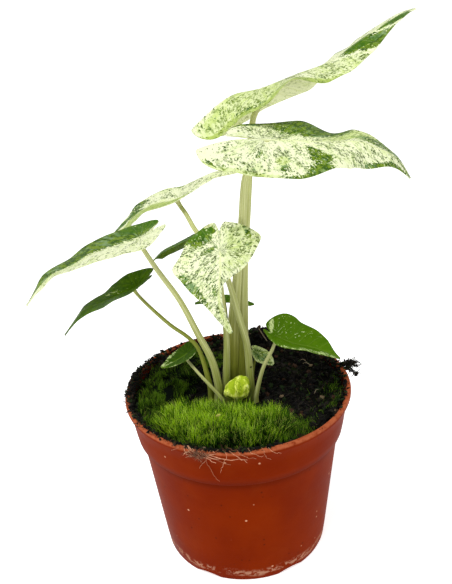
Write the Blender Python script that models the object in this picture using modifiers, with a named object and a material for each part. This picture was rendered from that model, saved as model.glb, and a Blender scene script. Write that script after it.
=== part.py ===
"""Young variegated alocasia in a round plastic nursery pot.

Sizes are in metres. The pot stands on z = 0 with its axis on z, the front of the plant is at -y.
Leaves are thin solids on a vein grid bent along a midrib, stalks are tapered tubes, and the moss
is a mat with spikes pulled out of its top.
"""
import math
import random

import bmesh
import bpy
from mathutils import Vector, noise

# Pot, from the rim of a common nine centimetre nursery pot.
SEGMENTS = 40
RIM_RADIUS = 0.0450
POT_HEIGHT = 0.0710
LEDGE_HEIGHT = 0.0540
LEDGE_RADIUS = 0.0415
WALL_TOP_RADIUS = 0.0400
BASE_RADIUS = 0.0334
POT_WALL = 0.0012
LIP = 0.0018
FLOOR = 0.0013
FOOT_HEIGHT = 0.0018
CENTRE_FOOT_RADIUS = 0.0205
FEET_NOTCHES = 6
DRAIN_HOLES = 8
DRAIN_RING = 0.0265
DRAIN_RADIUS = 0.0024

# Soil, corm and the gap between pieces.
GAP = 0.0003
SOIL_LEVEL = 0.0675
CORM_CENTRE = (-0.0015, -0.0030)
CORM_RADIUS = 0.0114
CORM_TOP = 0.0675
CORM_DEPTH = 0.0115

# Leaves: thickness of a blade and the width that is left at its tip.
BLADE = 0.0008
TIP_WIDTH = 0.0010

# Moss: height of the mat under the spikes.
MOSS_MAT = 0.0016

for old in list(bpy.data.objects):
    bpy.data.objects.remove(old, do_unlink=True)

main = bpy.data.collections.new("potted_alocasia")
bpy.context.scene.collection.children.link(main)
cutters = bpy.data.collections.new("cutters")
bpy.context.scene.collection.children.link(cutters)


def material(name, colour, roughness, specular=0.5):
    m = bpy.data.materials.new(name)
    m.use_nodes = True
    shader = m.node_tree.nodes["Principled BSDF"]
    shader.inputs["Base Color"].default_value = (*colour, 1.0)
    shader.inputs["Roughness"].default_value = roughness
    shader.inputs["Specular IOR Level"].default_value = specular
    return m


POT_PLASTIC = material("terracotta_plastic", (0.45, 0.10, 0.04), 0.45)
SOIL = material("peat_soil", (0.015, 0.010, 0.007), 0.95, 0.2)
CORM = material("corm_skin", (0.10, 0.06, 0.02), 0.8)
MOSS = material("moss_green", (0.13, 0.30, 0.03), 0.9, 0.2)
DARK_MOSS = material("moss_dark", (0.03, 0.10, 0.02), 0.9, 0.2)
STALK = material("stalk_green", (0.30, 0.33, 0.09), 0.45)
CREAM_LEAF = material("leaf_cream_speckled", (0.60, 0.68, 0.35), 0.45)
GREEN_LEAF = material("leaf_green", (0.06, 0.17, 0.03), 0.4)
YOUNG_LEAF = material("leaf_yellow_green", (0.45, 0.62, 0.06), 0.5)


def keep(obj, name, mat, collection=main, sharp=32):
    """Name an object, move it to its collection, give it its one material and shade it smooth."""
    obj.name = name
    obj.data.name = name
    obj.data.shade_smooth()
    obj.data.set_sharp_from_angle(angle=math.radians(sharp))
    for c in list(obj.users_collection):
        c.objects.unlink(obj)
    collection.objects.link(obj)
    obj.data.materials.clear()
    if mat:
        obj.data.materials.append(mat)
    return obj


def turned(name, profile, steps, mat, collection=main):
    """A body of revolution from an open profile whose ends lie on the axis."""
    data = bpy.data.meshes.new(name)
    bm = bmesh.new()
    verts = [bm.verts.new((r, 0.0, z)) for r, z in profile]
    for a, b in zip(verts, verts[1:]):
        bm.edges.new((a, b))
    bm.to_mesh(data)
    bm.free()
    obj = bpy.data.objects.new(name, data)
    bpy.context.scene.collection.objects.link(obj)
    screw = obj.modifiers.new("turn", "SCREW")
    screw.steps = screw.render_steps = steps
    screw.use_merge_vertices = True
    screw.merge_threshold = 0.0001
    screw.use_normal_calculate = True
    baked(obj)
    bm = bmesh.new()
    bm.from_mesh(obj.data)
    bmesh.ops.recalc_face_normals(bm, faces=bm.faces)
    bm.to_mesh(obj.data)
    bm.free()
    return keep(obj, name, mat, collection)


def baked(obj):
    """Replace an object's mesh by what its modifiers give."""
    bpy.context.view_layer.update()
    shape = obj.evaluated_get(bpy.context.evaluated_depsgraph_get())
    data = bpy.data.meshes.new_from_object(shape)
    obj.modifiers.clear()
    obj.data = data


def cut(obj, tool):
    mod = obj.modifiers.new("cut_" + tool.name, "BOOLEAN")
    mod.operation = "DIFFERENCE"
    mod.solver = "EXACT"
    mod.object = tool


def cutter(obj, name):
    keep(obj, name, None, cutters)
    obj.hide_render = True
    obj.display_type = "WIRE"
    return obj


# Pot: one turned wall with a stepped collar and a lip, a foot ring with notches, a flat foot in the
# middle and drain holes in the raised floor between them.
outer = [(0.0, 0.0), (CENTRE_FOOT_RADIUS, 0.0), (CENTRE_FOOT_RADIUS + 0.0008, FOOT_HEIGHT),
         (BASE_RADIUS - 0.0022, FOOT_HEIGHT), (BASE_RADIUS - 0.0018, 0.0), (BASE_RADIUS - 0.0006, 0.0),
         (BASE_RADIUS, 0.0010), (WALL_TOP_RADIUS, LEDGE_HEIGHT - 0.0006), (LEDGE_RADIUS, LEDGE_HEIGHT),
         (RIM_RADIUS - 0.0012, POT_HEIGHT - 0.0026), (RIM_RADIUS, POT_HEIGHT - 0.0018),
         (RIM_RADIUS, POT_HEIGHT - 0.0006), (RIM_RADIUS - 0.0006, POT_HEIGHT)]
inner = [(RIM_RADIUS - LIP, POT_HEIGHT), (RIM_RADIUS - LIP - 0.0004, POT_HEIGHT - 0.0006),
         (LEDGE_RADIUS - POT_WALL + 0.0004, LEDGE_HEIGHT + 0.0016),
         (WALL_TOP_RADIUS - POT_WALL, LEDGE_HEIGHT - 0.0010),
         (BASE_RADIUS - POT_WALL, FOOT_HEIGHT + FLOOR + 0.0010),
         (BASE_RADIUS - 0.0024, FOOT_HEIGHT + FLOOR),
         (CENTRE_FOOT_RADIUS + 0.0004, FOOT_HEIGHT + FLOOR), (CENTRE_FOOT_RADIUS - 0.0006, FLOOR),
         (0.0, FLOOR)]
pot = turned("pot", outer + inner, SEGMENTS, POT_PLASTIC)

for i in range(FEET_NOTCHES):
    turn = math.radians(360 / FEET_NOTCHES * i)
    bpy.ops.mesh.primitive_cylinder_add(
        vertices=12, radius=0.0030, depth=0.0100, rotation=(0.0, math.radians(90), turn),
        location=((BASE_RADIUS + 0.0025) * math.cos(turn),
                  (BASE_RADIUS + 0.0025) * math.sin(turn), -0.0013))
    tool = bpy.context.active_object
    tool.scale = (1.0, 2.2, 1.0)
    cut(pot, cutter(tool, "foot_notch_%d" % i))
for i in range(DRAIN_HOLES):
    turn = math.radians(360 / DRAIN_HOLES * (i + 0.5))
    bpy.ops.mesh.primitive_cylinder_add(
        vertices=12, radius=DRAIN_RADIUS, depth=0.0080,
        location=(DRAIN_RING * math.cos(turn), DRAIN_RING * math.sin(turn), FOOT_HEIGHT))
    cut(pot, cutter(bpy.context.active_object, "drain_hole_%d" % i))


# Soil: fills the pot to just under the rim, with a heap at the back right.
def smooth(x):
    x = min(1.0, max(0.0, x))
    return x * x * (3 - 2 * x)


def bumps(x, y):
    """Height of the open soil above the level on which the moss lies."""
    fine = noise.noise(Vector((x, y, 0.3)) * 160) * 0.0011
    rough = fine + noise.noise(Vector((x, y, 1.7)) * 60) * 0.0010
    open_soil = smooth((x * 0.9 + y + 0.001) / 0.012) * smooth((x + 0.004) / 0.012)
    open_soil = max(open_soil, smooth((x - 0.026) / 0.006) * smooth((y + 0.022) / 0.008))
    heap = math.exp(-(((x - 0.011) / 0.013) ** 2 + ((y - 0.033) / 0.008) ** 2)) * 0.0095
    from_corm = math.hypot(x - CORM_CENTRE[0], y - CORM_CENTRE[1]) - CORM_RADIUS
    near_crown = smooth((from_corm - 0.001) / 0.004)
    return (max(0.0, rough + 0.0012) * near_crown + heap) * open_soil


rings = [0.0, 0.0068, 0.0128, 0.0170, 0.0215, 0.0265, 0.0315, 0.0365, 0.0405]
edge = [(r - GAP, z) for r, z in inner[2:4]]
edge += [(r - GAP if r > 0 else 0.0, z + GAP) for r, z in inner[4:]]
shoulder = LEDGE_HEIGHT + 0.0016
climb = (SOIL_LEVEL - shoulder) / (POT_HEIGHT - 0.0006 - shoulder)
top_edge = edge[0][0] + climb * (inner[1][0] - inner[2][0])
soil_profile = [(r, SOIL_LEVEL) for r in rings] + [(top_edge, SOIL_LEVEL)] + edge
soil = turned("soil", soil_profile, SEGMENTS, SOIL)
for v in soil.data.vertices:
    if abs(v.co.z - SOIL_LEVEL) < 1e-6 and math.hypot(v.co.x, v.co.y) < top_edge - 0.0005:
        v.co.z += bumps(v.co.x, v.co.y)
bpy.ops.mesh.primitive_cylinder_add(
    vertices=32, radius=CORM_RADIUS + GAP + 0.0001, depth=0.040,
    location=(*CORM_CENTRE, CORM_TOP - CORM_DEPTH - GAP + 0.020))
cut(soil, cutter(bpy.context.active_object, "corm_hole"))

# Corm: the short stem that the stalks stand on, sunk in a plain round hole.
corm = turned("corm", [(0.0, CORM_TOP - CORM_DEPTH), (CORM_RADIUS * 0.65, CORM_TOP - CORM_DEPTH),
                       (CORM_RADIUS * 0.92, CORM_TOP - 0.0085), (CORM_RADIUS, CORM_TOP - 0.0040),
                       (CORM_RADIUS, CORM_TOP - 0.0006), (CORM_RADIUS - 0.0006, CORM_TOP),
                       (0.0, CORM_TOP)], 24, CORM)
for v in corm.data.vertices:
    v.co.x += CORM_CENTRE[0]
    v.co.y += CORM_CENTRE[1]


# Leaves: a grid of each blade is laid on its midrib and given thickness.
def curve_point(points, u):
    """Smooth curve through points; u runs from 0 to the number of spans."""
    n = len(points) - 1
    i = min(int(u), n - 1)
    f = u - i
    p0 = points[i - 1] if i > 0 else points[0] * 2 - points[1]
    p3 = points[i + 2] if i + 2 <= n else points[n] * 2 - points[n - 1]
    p1, p2 = points[i], points[i + 1]
    return ((p1 * 2) + (p2 - p0) * f + (p0 * 2 - p1 * 5 + p2 * 4 - p3) * f * f
            + (p1 * 3 - p0 - p2 * 3 + p3) * f ** 3) * 0.5


class Midrib:
    """Line of the leaf axis from between the lobes, through the joint, to the tip.

    Each station holds x, y and z in millimetres, then half width in millimetres and lift in degrees
    of the right half, then of the left half, seen from the joint to the tip.
    """

    def __init__(self, stations, joint, lobes, sinus, facing):
        self.lobes = lobes
        self.facing = Vector(facing).normalized()
        self.sinus = sinus
        self.points = [Vector(row[:3]) * 0.001 for row in stations]
        self.sides = [[(row[3] * 0.001, row[4]) for row in stations],
                      [(row[5] * 0.001, row[6]) for row in stations]]
        self.table = [(0.0, 0.0)]
        last = self.points[0]
        for k in range(1, 24 * (len(stations) - 1) + 1):
            here = curve_point(self.points, k / 24)
            self.table.append((self.table[-1][0] + (here - last).length, k / 24))
            last = here
        self.length = self.table[-1][0]
        self.joint = self.table[24 * joint][0]

    def span(self, s):
        """Curve parameter at a distance s along the line."""
        for (s0, u0), (s1, u1) in zip(self.table, self.table[1:]):
            if s <= s1:
                return u0 + (u1 - u0) * (s - s0) / (s1 - s0)
        return self.table[-1][1]

    def frame(self, s):
        u = self.span(min(max(s, 0.0), self.length))
        ahead, behind = min(u + 0.3, len(self.points) - 1), max(u - 0.3, 0.0)
        tangent = (curve_point(self.points, ahead) - curve_point(self.points, behind)).normalized()
        normal = (self.facing - tangent * self.facing.dot(tangent)).normalized()
        place = curve_point(self.points, u) + tangent * min(s, 0.0)
        return place, tangent, normal, tangent.cross(normal), u

    def half(self, side, u):
        """Half width and lift of one side, blended between the stations."""
        rows = self.sides[side]
        i = min(int(u), len(rows) - 2)
        f = smooth(u - i)
        width = rows[i][0] * (1 - (u - i)) + rows[i + 1][0] * (u - i)
        return width, math.radians(rows[i][1] * (1 - f) + rows[i + 1][1] * f)


def blade_point(rib, wave, t, v):
    """Point of the leaf for t along the leaf (0 sinus, 1 tip) and v across it (-1 left, 1 right)."""
    side_index = 0 if v > 0 else 1
    q = (1 - math.cos(math.pi * t)) / 2
    width, _ = rib.half(side_index, rib.span(rib.length * q))
    rounded = math.sqrt(1 - (1 - q / 0.13) ** 2) if q < 0.13 else 1.0
    half = width * (rib.sinus + (1 - rib.sinus) * rounded) + TIP_WIDTH / 2 * q
    across = abs(v)
    margin = rib.length * q - rib.joint
    if margin < 0:
        margin *= rib.lobes[side_index]
    behind = rib.joint * rib.lobes[2]
    along = ((rib.length - rib.joint + behind) * t ** 2.3 - behind) * (1 - across)
    along += margin * (math.sin(across * math.pi / 2) if margin < 0 else across)
    reach = half * across
    place, tangent, normal, side, u = rib.frame(along + rib.joint)
    _, turn = rib.half(side_index, u)
    amp, cycles, phase = wave
    if v < 0:
        side, phase = -side, phase + 0.37
    ripple = amp * across ** 2 * math.sin(2 * math.pi * (cycles * q + phase)) * (1 - q) ** 0.3
    return place + side * (reach * math.cos(turn)) + normal * (reach * math.sin(turn) + ripple)


def blade(name, mat, rib, wave, rows, columns):
    bpy.ops.mesh.primitive_grid_add(x_subdivisions=rows, y_subdivisions=2 * columns, size=1.0)
    obj = bpy.context.active_object
    for vert in obj.data.vertices:
        vert.co = blade_point(rib, wave, vert.co.x + 0.5, vert.co.y * 2)
    obj.modifiers.new("faces", "TRIANGULATE")
    solid = obj.modifiers.new("thickness", "SOLIDIFY")
    solid.thickness = BLADE
    solid.offset = 0.0
    baked(obj)
    bm = bmesh.new()
    bm.from_mesh(obj.data)
    bmesh.ops.recalc_face_normals(bm, faces=bm.faces)
    bm.to_mesh(obj.data)
    bm.free()
    keep(obj, name, mat)


# Each leaf: its colour, which station is the joint (those before it lie between the lobes), the
# relative length of the right and left lobe and the share of it over which they are one, how wide
# the lobes start, the wave of the margin (height, turns, start), rows and columns of the grid, and
# the stations. Leaves face up, but one hangs with its upper side to the front.
LEAVES = {
    "a": (CREAM_LEAF, 2, (1.0, 0.95, 0.3), 0.24, (0.0004, 2.5, 0.1), 18, 4, [
        (-11.2, 15.5, 173.6, 13, -50, 14, -72), (3, 14.5, 182.7, 14, -32, 14, -58),
        (14.2, 12, 185.5, 14, -17, 14, -42), (27.4, 10, 190.2, 13, 2, 12, -42),
        (39.4, 6.5, 194.5, 12, -22, 11, 4), (45.1, 4, 198.8, 11, -33, 9.5, 4),
        (51, 2, 203, 8.5, -32, 7, 2), (61, 0, 209, 3.5, -6, 3.5, 8), (66, -1, 211, 0.2, 0, 0.2, 10)]),
    "b": (CREAM_LEAF, 2, (1.0, 0.55, 0.1), 0.28, (0.0004, 2.6, 0.3), 18, 4, [
        (-8.6, -7.8, 172.8, 15, -24, 9, 26), (3, -8.5, 174, 16, -25, 10, 17),
        (14, -9, 173, 17, -30, 14, 7), (26, -10, 172, 17, -30, 16, 11),
        (38, -11, 171, 14.5, -17, 14.5, -5), (45, -12, 171, 12, -29, 12, 3),
        (51, -13, 169, 9, -40, 9, 6), (58, -14, 165, 5, -21, 5, -1), (63, -15, 158, 0.2, -10, 0.2, 0)]),
    "c": (CREAM_LEAF, 2, (1.0, 0.5, 0.5), 0.25, (0.0002, 2.0, 0.2), 14, 4, [
        (5, 6, 157, 5, 0, 3, 8), (-6, 7, 154.8, 8, -4, 5, 2), (-17, 9, 148.2, 10, 4, 8.5, 4),
        (-26, 12, 145.6, 9, -4, 8.5, 0), (-32, 14.5, 142.2, 8, -2, 8, -12),
        (-36.5, 16.5, 138.6, 7, 10, 6.5, -26), (-40, 18, 134.4, 5, 20, 4.5, -28),
        (-44, 19, 130.8, 3, 16, 3, -16), (-48, 19.5, 127.2, 0.2, 0, 0.2, 0)]),
    "d": (CREAM_LEAF, 1, (1.0, 1.16, 0.5), 0.34, (0.0003, 2.0, 0.6), 14, 4, [
        (-24, -5, 143.4, 8, -8, 9, 6), (-31, -7, 139.7, 11, 1, 11, 0), (-40, -9, 138, 12, 0, 12, 6),
        (-49, -11, 136, 11, -2, 11, 8), (-56, -13, 133, 9, -5, 9, 12), (-63, -15, 131, 6, -7, 6, 14),
        (-68, -17, 127, 3.5, -4, 3.5, 8), (-73, -18, 121, 0.2, 0, 0.2, 0)]),
    "e": (CREAM_LEAF, 2, (1.0, 1.0, 0.75), 0.22, (0.0003, 2.2, 0.4), 16, 4, [
        (-3, -8, 143, 13, -30, 15.6, -8), (-3.1, -11.5, 139, 14, -26, 15, -10),
        (-3.1, -14, 135.1, 15.4, -22, 12.6, -12), (-3.3, -16.7, 130.5, 17.8, -18, 8.4, -16),
        (-3.9, -18.7, 126.2, 16.4, -16, 2.4, -22), (-4.4, -19.8, 122.2, 11, -16, 0.9, -32),
        (-4.2, -20.8, 117.5, 5.2, -18, 0.8, -36), (-3.0, -21, 112.3, 2.6, -20, 0.7, -36),
        (-1.1, -20, 105.7, 0.2, 0, 0.2, 0)]),
    "f": (GREEN_LEAF, 1, (0.82, 1.12, 0.5), 0.32, (0.0003, 1.6, 0.2), 12, 3, [
        (-28, -3, 124, 6, -10, 6, 16), (-35, -4, 119, 8, 20, 8, 21), (-42, -6, 117, 8.5, 8, 8.5, 16),
        (-48, -7, 115, 7, -3, 7.2, 9), (-53, -8, 113.7, 5, -8, 5.4, 7), (-57, -9, 111, 3.2, -10, 3, 5),
        (-63, -10, 104, 0.2, 0, 0.2, 0)]),
    "g": (GREEN_LEAF, 1, (1.0, 1.0, 0.5), 0.3, (0.0, 1.0, 0.0), 9, 3, [
        (-10, 12, 133.2, 5, -42, 5, 10), (-14.5, 12, 131.4, 6.4, -46, 6, 10),
        (-20, 12, 128.8, 6.2, -46, 5.6, 10),
        (-25, 12, 126.4, 4.4, -52, 4, 8), (-28, 12, 123.8, 3.4, -50, 2, 6),
        (-29.6, 12, 121.9, 0.6, 0, 0.6, 0)]),
    "h": (GREEN_LEAF, 1, (1.0, 1.0, 0.5), 0.3, (0.0, 1.0, 0.0), 9, 3, [
        (8.6, 18, 98.2, 3.4, -34, 3, -4), (3, 18, 100.8, 5.6, -38, 5, -6),
        (-2, 18, 102.8, 6.2, -40, 6, -6), (-9, 17, 101.8, 4, -34, 4, 2), (-15, 16, 100.6, 0.3, 0, 0.3, 0)]),
    "i": (GREEN_LEAF, 1, (1.0, 1.0, 0.45), 0.32, (0.0003, 1.6, 0.4), 12, 3, [
        (11.5, -4, 98, 5.5, 12, 8, 44), (16, -5, 95, 8, 10, 10, 42), (22, -6, 92, 8.5, 14, 9.8, 39),
        (28, -6, 90, 7.5, 14, 8.4, 36), (34, -7, 88, 5, 16, 5.4, 26), (40, -8, 85, 0.2, 10, 0.2, 0)]),
    "j": (GREEN_LEAF, 1, (1.0, 1.0, 0.4), 0.4, (0.0003, 1.6, 0.0), 8, 2, [
        (6.2, 3.8, 85.2, 2.5, 0, 2.2, 25), (8.4, 3, 83.8, 3.3, -6, 2.9, 30), (11.2, 1.4, 82, 3.1, -10, 2.7, 30),
        (13.4, 0, 80.8, 2.1, 0, 1.9, 20), (14.7, -0.7, 80, 0.4, 0, 0.4, 0)]),
    "k": (GREEN_LEAF, 1, (1.0, 1.0, 0.4), 0.3, (0.0002, 1.6, 0.0), 8, 2, [
        (-15, 0, 91, 3.5, 10, 3.5, 10), (-19, -2, 88, 4.8, 10, 4.8, 10), (-24, -4, 86, 4, 10, 4, 10),
        (-29, -6, 85, 0.3, 0, 0.3, 0)]),
}

# Each stalk: points in millimetres from the corm up, then the radius in millimetres at the foot,
# half way and at the top. It ends under the joint of the leaf with the same letter.
STALKS = {
    "a": ([(2.0, 0.0), (2.0, 0.2, 74), (2.6, 0.6, 91), (4.7, 1.2, 117), (7.0, 2.4, 138),
           (9.2, 5.6, 157.5), (10.4, 8.4, 167), (12.0, 10.6, 176)], 1.8, 1.3, 1.0),
    "b": ([(-1.9, -0.3), (-1.9, -0.6, 75), (-0.7, -1.6, 93), (2.3, -2.2, 118), (5.2, -3.2, 140),
           (7.8, -6.0, 160.5)], 1.8, 1.3, 1.0),
    "c": ([(5.0, -5.2), (5.1, -5.8, 77), (4.6, -5.7, 92.5), (2.4, -5.6, 103.5), (-1.0, -5.0, 120),
           (-5.6, -3.5, 131.5), (-11.4, 1.0, 137.5), (-14.8, 5.0, 143)], 1.35, 1.2, 0.8),
    "d": ([(-7.8, -7.2), (-7.4, -7.6, 76), (-9.2, -8.0, 88), (-13.6, -8.0, 99.6), (-19.2, -7.8, 114),
           (-26.4, -7.4, 126.8)], 1.5, 1.2, 0.8),
    "e": ([(-4.6, -5.0), (-4.3, -5.6, 76), (-3.0, -7.0, 95.5), (-3.4, -9.0, 109.6), (-3.6, -10.0, 120),
           (-3.5, -10.0, 129.0)], 1.3, 1.1, 0.7),
    "f": ([(-10.6, -5.2), (-10.8, -6.2, 76), (-13.6, -5.4, 90.5), (-17.5, -5.4, 97), (-23.9, -5.0, 102.7),
           (-30.8, -5.0, 110.8), (-34.2, -4.0, 115.0)], 1.1, 0.8, 0.6),
    "g": ([(-4.6, 3.2), (-4.4, 3.2, 73), (-3.0, 3.2, 90), (-3.1, 3.5, 107), (-6.6, 8.0, 122),
           (-11.0, 11.0, 127)], 1.1, 0.8, 0.6),
    "h": ([(0.3, 4.2), (0.3, 4.8, 72), (0.8, 9.0, 86.7), (2.0, 15.6, 95)], 0.9, 0.7, 0.5),
    "i": ([(6.9, -8.4), (7.2, -8.4, 72), (10.2, -7.4, 82.4), (13.9, -6.0, 89)], 0.9, 0.7, 0.6),
    "j": ([(5.8, -0.8), (6.0, -0.4, 74), (7.0, 1.6, 79)], 0.6, 0.5, 0.4),
    "k": ([(-6.0, -10.2), (-7.0, -10.6, 73), (-14.2, -7.6, 81.5), (-18.0, -4.0, 84.0)], 0.7, 0.6, 0.5),
}

ribs = {}
for letter, (mat, joint, lobes, sinus, wave, rows, columns, stations) in LEAVES.items():
    facing = (0.0, -0.9, 0.45) if letter == "e" else (0.0, 0.0, 1.0)
    ribs[letter] = Midrib(stations, joint, lobes, sinus, facing)
    blade("blade_" + letter, mat, ribs[letter], wave, rows, columns)


def stalk(letter, points, foot, middle, top):
    """Tapered tube from the corm to just under the leaf joint, its last piece square to the leaf."""
    rib = ribs[letter]
    joint, tangent, normal, side, u = rib.frame(rib.joint + 0.0014)
    fold = math.tan(max(0.0, -rib.half(0, u)[1], -rib.half(1, u)[1]))
    cap = joint - normal * (BLADE / 2 + GAP + top * 0.001 * fold)
    path = [Vector((points[0][0], points[0][1], 0)) * 0.001]
    path[0].z = CORM_TOP + GAP
    path.append(path[0] + Vector((0, 0, 0.002)))
    bend = cap - normal * 0.0028
    guide = [Vector(p) * 0.001 for p in points[1:]]
    guide = [path[1]] + [p for p in guide if (p - bend).length > 0.0030] + [bend, cap]
    for k in range(len(guide) - 2):
        for f in (0.0, 0.5):
            if k or f:
                path.append(curve_point(guide, k + f))
    path += guide[-2:]
    data = bpy.data.curves.new("stalk_" + letter, "CURVE")
    data.dimensions = "3D"
    data.bevel_depth = 1.0
    data.bevel_resolution = 2
    data.use_fill_caps = True
    spline = data.splines.new("POLY")
    spline.points.add(len(path) - 1)
    height = path[-1].z - path[0].z
    for point, place in zip(spline.points, path):
        h = (place.z - path[0].z) / height
        radius = foot + (middle - foot) * h * 2 if h < 0.5 else middle + (top - middle) * (h - 0.5) * 2
        point.co = (*place, 1.0)
        point.radius = radius * 0.001
    spline.points[len(path) - 1].radius = top * 0.001
    obj = bpy.data.objects.new("stalk_" + letter, data)
    bpy.context.scene.collection.objects.link(obj)
    bpy.context.view_layer.update()
    mesh = bpy.data.meshes.new_from_object(obj.evaluated_get(bpy.context.evaluated_depsgraph_get()))
    bpy.data.objects.remove(obj, do_unlink=True)
    obj = bpy.data.objects.new("stalk", mesh)
    bpy.context.scene.collection.objects.link(obj)
    bm = bmesh.new()
    bm.from_mesh(mesh)
    bmesh.ops.remove_doubles(bm, verts=bm.verts, dist=0.00002)
    bmesh.ops.recalc_face_normals(bm, faces=bm.faces)
    bm.to_mesh(mesh)
    bm.free()
    keep(obj, "stalk_" + letter, STALK)


for letter, (points, foot, middle, top) in STALKS.items():
    stalk(letter, points, foot, middle, top)

# Young leaf: a crumpled bright bud at the front of the corm.
bud = turned("young_leaf", [(0.0, CORM_TOP + GAP), (0.0013, CORM_TOP + GAP), (0.0022, 0.0698),
                            (0.0042, 0.0718), (0.0052, 0.0748), (0.0049, 0.0782), (0.0032, 0.0806),
                            (0.0, 0.0814)], 14, YOUNG_LEAF)
for v in bud.data.vertices:
    crumple = 0.0009 * noise.noise(v.co * 380) if v.co.z > 0.0710 else 0.0
    v.co.x += crumple + 0.0004 * (v.co.z - 0.0675) / 0.010
    v.co.y = v.co.y * 0.55 + crumple
    v.co.x += 0.0002
    v.co.y -= 0.0098


# Moss: mats on the level soil, each face of the top pulled out to a spike.
def moss(name, mat, across, deep, place, seed, crown, low, high, lean):
    """Grid whose vertices place() puts on the soil; the outline is the edge of the grid."""
    rng = random.Random(seed)
    bpy.ops.mesh.primitive_grid_add(x_subdivisions=across, y_subdivisions=deep, size=2.0)
    obj = bpy.context.active_object
    bm = bmesh.new()
    bm.from_mesh(obj.data)
    for v in bm.verts:
        x, y, edge_near = place(v.co.x, v.co.y)
        free = 0.0 if edge_near else 0.00025
        dome = crown * (1 - v.co.x ** 4) * (1 - v.co.y ** 4)
        top = MOSS_MAT * (0.45 if edge_near else 1.0) + dome + rng.uniform(0, free)
        v.co = Vector((x + rng.uniform(-free, free), y + rng.uniform(-free, free),
                       SOIL_LEVEL + GAP + top))
    faces = list(bm.faces)
    rim = [e for e in bm.edges if e.is_boundary]
    wall = bmesh.ops.extrude_edge_only(bm, edges=rim)["geom"]
    low_verts = [g for g in wall if isinstance(g, bmesh.types.BMVert)]
    for v in low_verts:
        v.co.z = SOIL_LEVEL + GAP
    bmesh.ops.contextual_create(bm, geom=[g for g in wall if isinstance(g, bmesh.types.BMEdge)])
    for face in faces:
        centre = face.calc_center_median()
        size = math.sqrt(face.calc_area())
        bmesh.ops.inset_individual(bm, faces=[face], thickness=size * 0.26)
        top = bmesh.ops.poke(bm, faces=[face])["verts"][0]
        spot = Vector((centre.x, centre.y, 0.5 + seed)) * 90
        right, back = noise.noise(spot), noise.noise(spot + Vector((7.3, 2.9, 4.1)))
        top.co = centre + Vector((right * lean, back * lean, rng.uniform(low, high)))
    bmesh.ops.recalc_face_normals(bm, faces=bm.faces)
    bm.to_mesh(obj.data)
    bm.free()
    return keep(obj, name, mat)


def disc(u, v):
    return u * math.sqrt(1 - v * v / 2), v * math.sqrt(1 - u * u / 2)


def tuft_place(u, v):
    """Kidney shaped mat in front of the corm, along the front of the pot."""
    a, b = disc(u, v)
    x = -0.0045 + 0.0285 * a
    y = -0.0262 + 0.0118 * b - 0.0045 * a + 0.0030 * a * a
    return x, y, max(abs(u), abs(v)) > 0.999


def carpet_place(u, v):
    """Low moss in a band along the back left of the pot."""
    turn = math.radians(149 - 40 * u)
    reach = 0.0280 + 0.0118 * v * math.sqrt(max(0.0, 1 - 0.7 * u * u))
    return reach * math.cos(turn), reach * math.sin(turn), max(abs(u), abs(v)) > 0.999


moss("moss_tuft", MOSS, 17, 8, tuft_place, 3, 0.0014, 0.0034, 0.0058, 0.0022)
moss("moss_carpet", DARK_MOSS, 10, 5, carpet_place, 5, 0.0006, 0.0012, 0.0026, 0.0010)
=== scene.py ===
"""Potted alocasia: eleven variegated leaves on long stalks, in soil and moss in a plastic pot.

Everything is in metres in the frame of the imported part: the pot stands on z = 0 with its axis on z,
and the front of the plant is at -y. Each section builds one piece or one group of like pieces.
"""
import bisect
import random
from math import atan2, copysign, cos, exp, hypot, pi, radians, sin, sqrt

import bmesh
import bpy
import numpy as np
from mathutils import Matrix, Vector, noise


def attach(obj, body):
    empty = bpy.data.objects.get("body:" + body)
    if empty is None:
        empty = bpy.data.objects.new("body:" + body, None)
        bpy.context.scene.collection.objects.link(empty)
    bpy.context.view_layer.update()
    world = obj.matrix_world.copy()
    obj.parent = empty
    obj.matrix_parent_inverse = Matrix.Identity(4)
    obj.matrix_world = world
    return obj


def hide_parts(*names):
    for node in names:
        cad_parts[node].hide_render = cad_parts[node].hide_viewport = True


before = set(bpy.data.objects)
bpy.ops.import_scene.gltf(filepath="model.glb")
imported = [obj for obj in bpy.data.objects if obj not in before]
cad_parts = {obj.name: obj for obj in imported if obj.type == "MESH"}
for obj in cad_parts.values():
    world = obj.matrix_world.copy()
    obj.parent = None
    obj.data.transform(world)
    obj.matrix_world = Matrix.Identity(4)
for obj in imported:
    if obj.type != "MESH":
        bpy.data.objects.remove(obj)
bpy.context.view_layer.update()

# Camera and light.
# The camera stands in front of the plant, a little higher than the top leaf, and looks down on it,
# turned slightly on its axis. The light is a white room with a large soft lamp above, to the left,
# and a weak one at the right.
CAMERA_PLACE = (0.0, -0.2868, 0.2502)
CAMERA_TURN, CAMERA_DOWN, CAMERA_ROLL = 0.41, 25.63, -3.91
scene = bpy.context.scene
camera_data = bpy.data.cameras.new("camera")
camera_data.sensor_width = 36.0
camera_data.lens = 51.78
camera_data.clip_start = 0.01
camera = bpy.data.objects.new("camera", camera_data)
scene.collection.objects.link(camera)
camera.matrix_world = (Matrix.Translation(CAMERA_PLACE)
                       @ Matrix.Rotation(radians(CAMERA_TURN), 4, "Z")
                       @ Matrix.Rotation(radians(90 - CAMERA_DOWN), 4, "X")
                       @ Matrix.Rotation(radians(CAMERA_ROLL), 4, "Z"))
scene.camera = camera
scene.view_settings.view_transform = "Standard"

WHITE = (1.0, 1.0, 1.0, 1.0)
room = bpy.data.worlds.new("white_room")
scene.world = room
room.use_nodes = True
background = room.node_tree.nodes["Background"].inputs
background["Color"].default_value = WHITE
background["Strength"].default_value = 0.46


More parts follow.
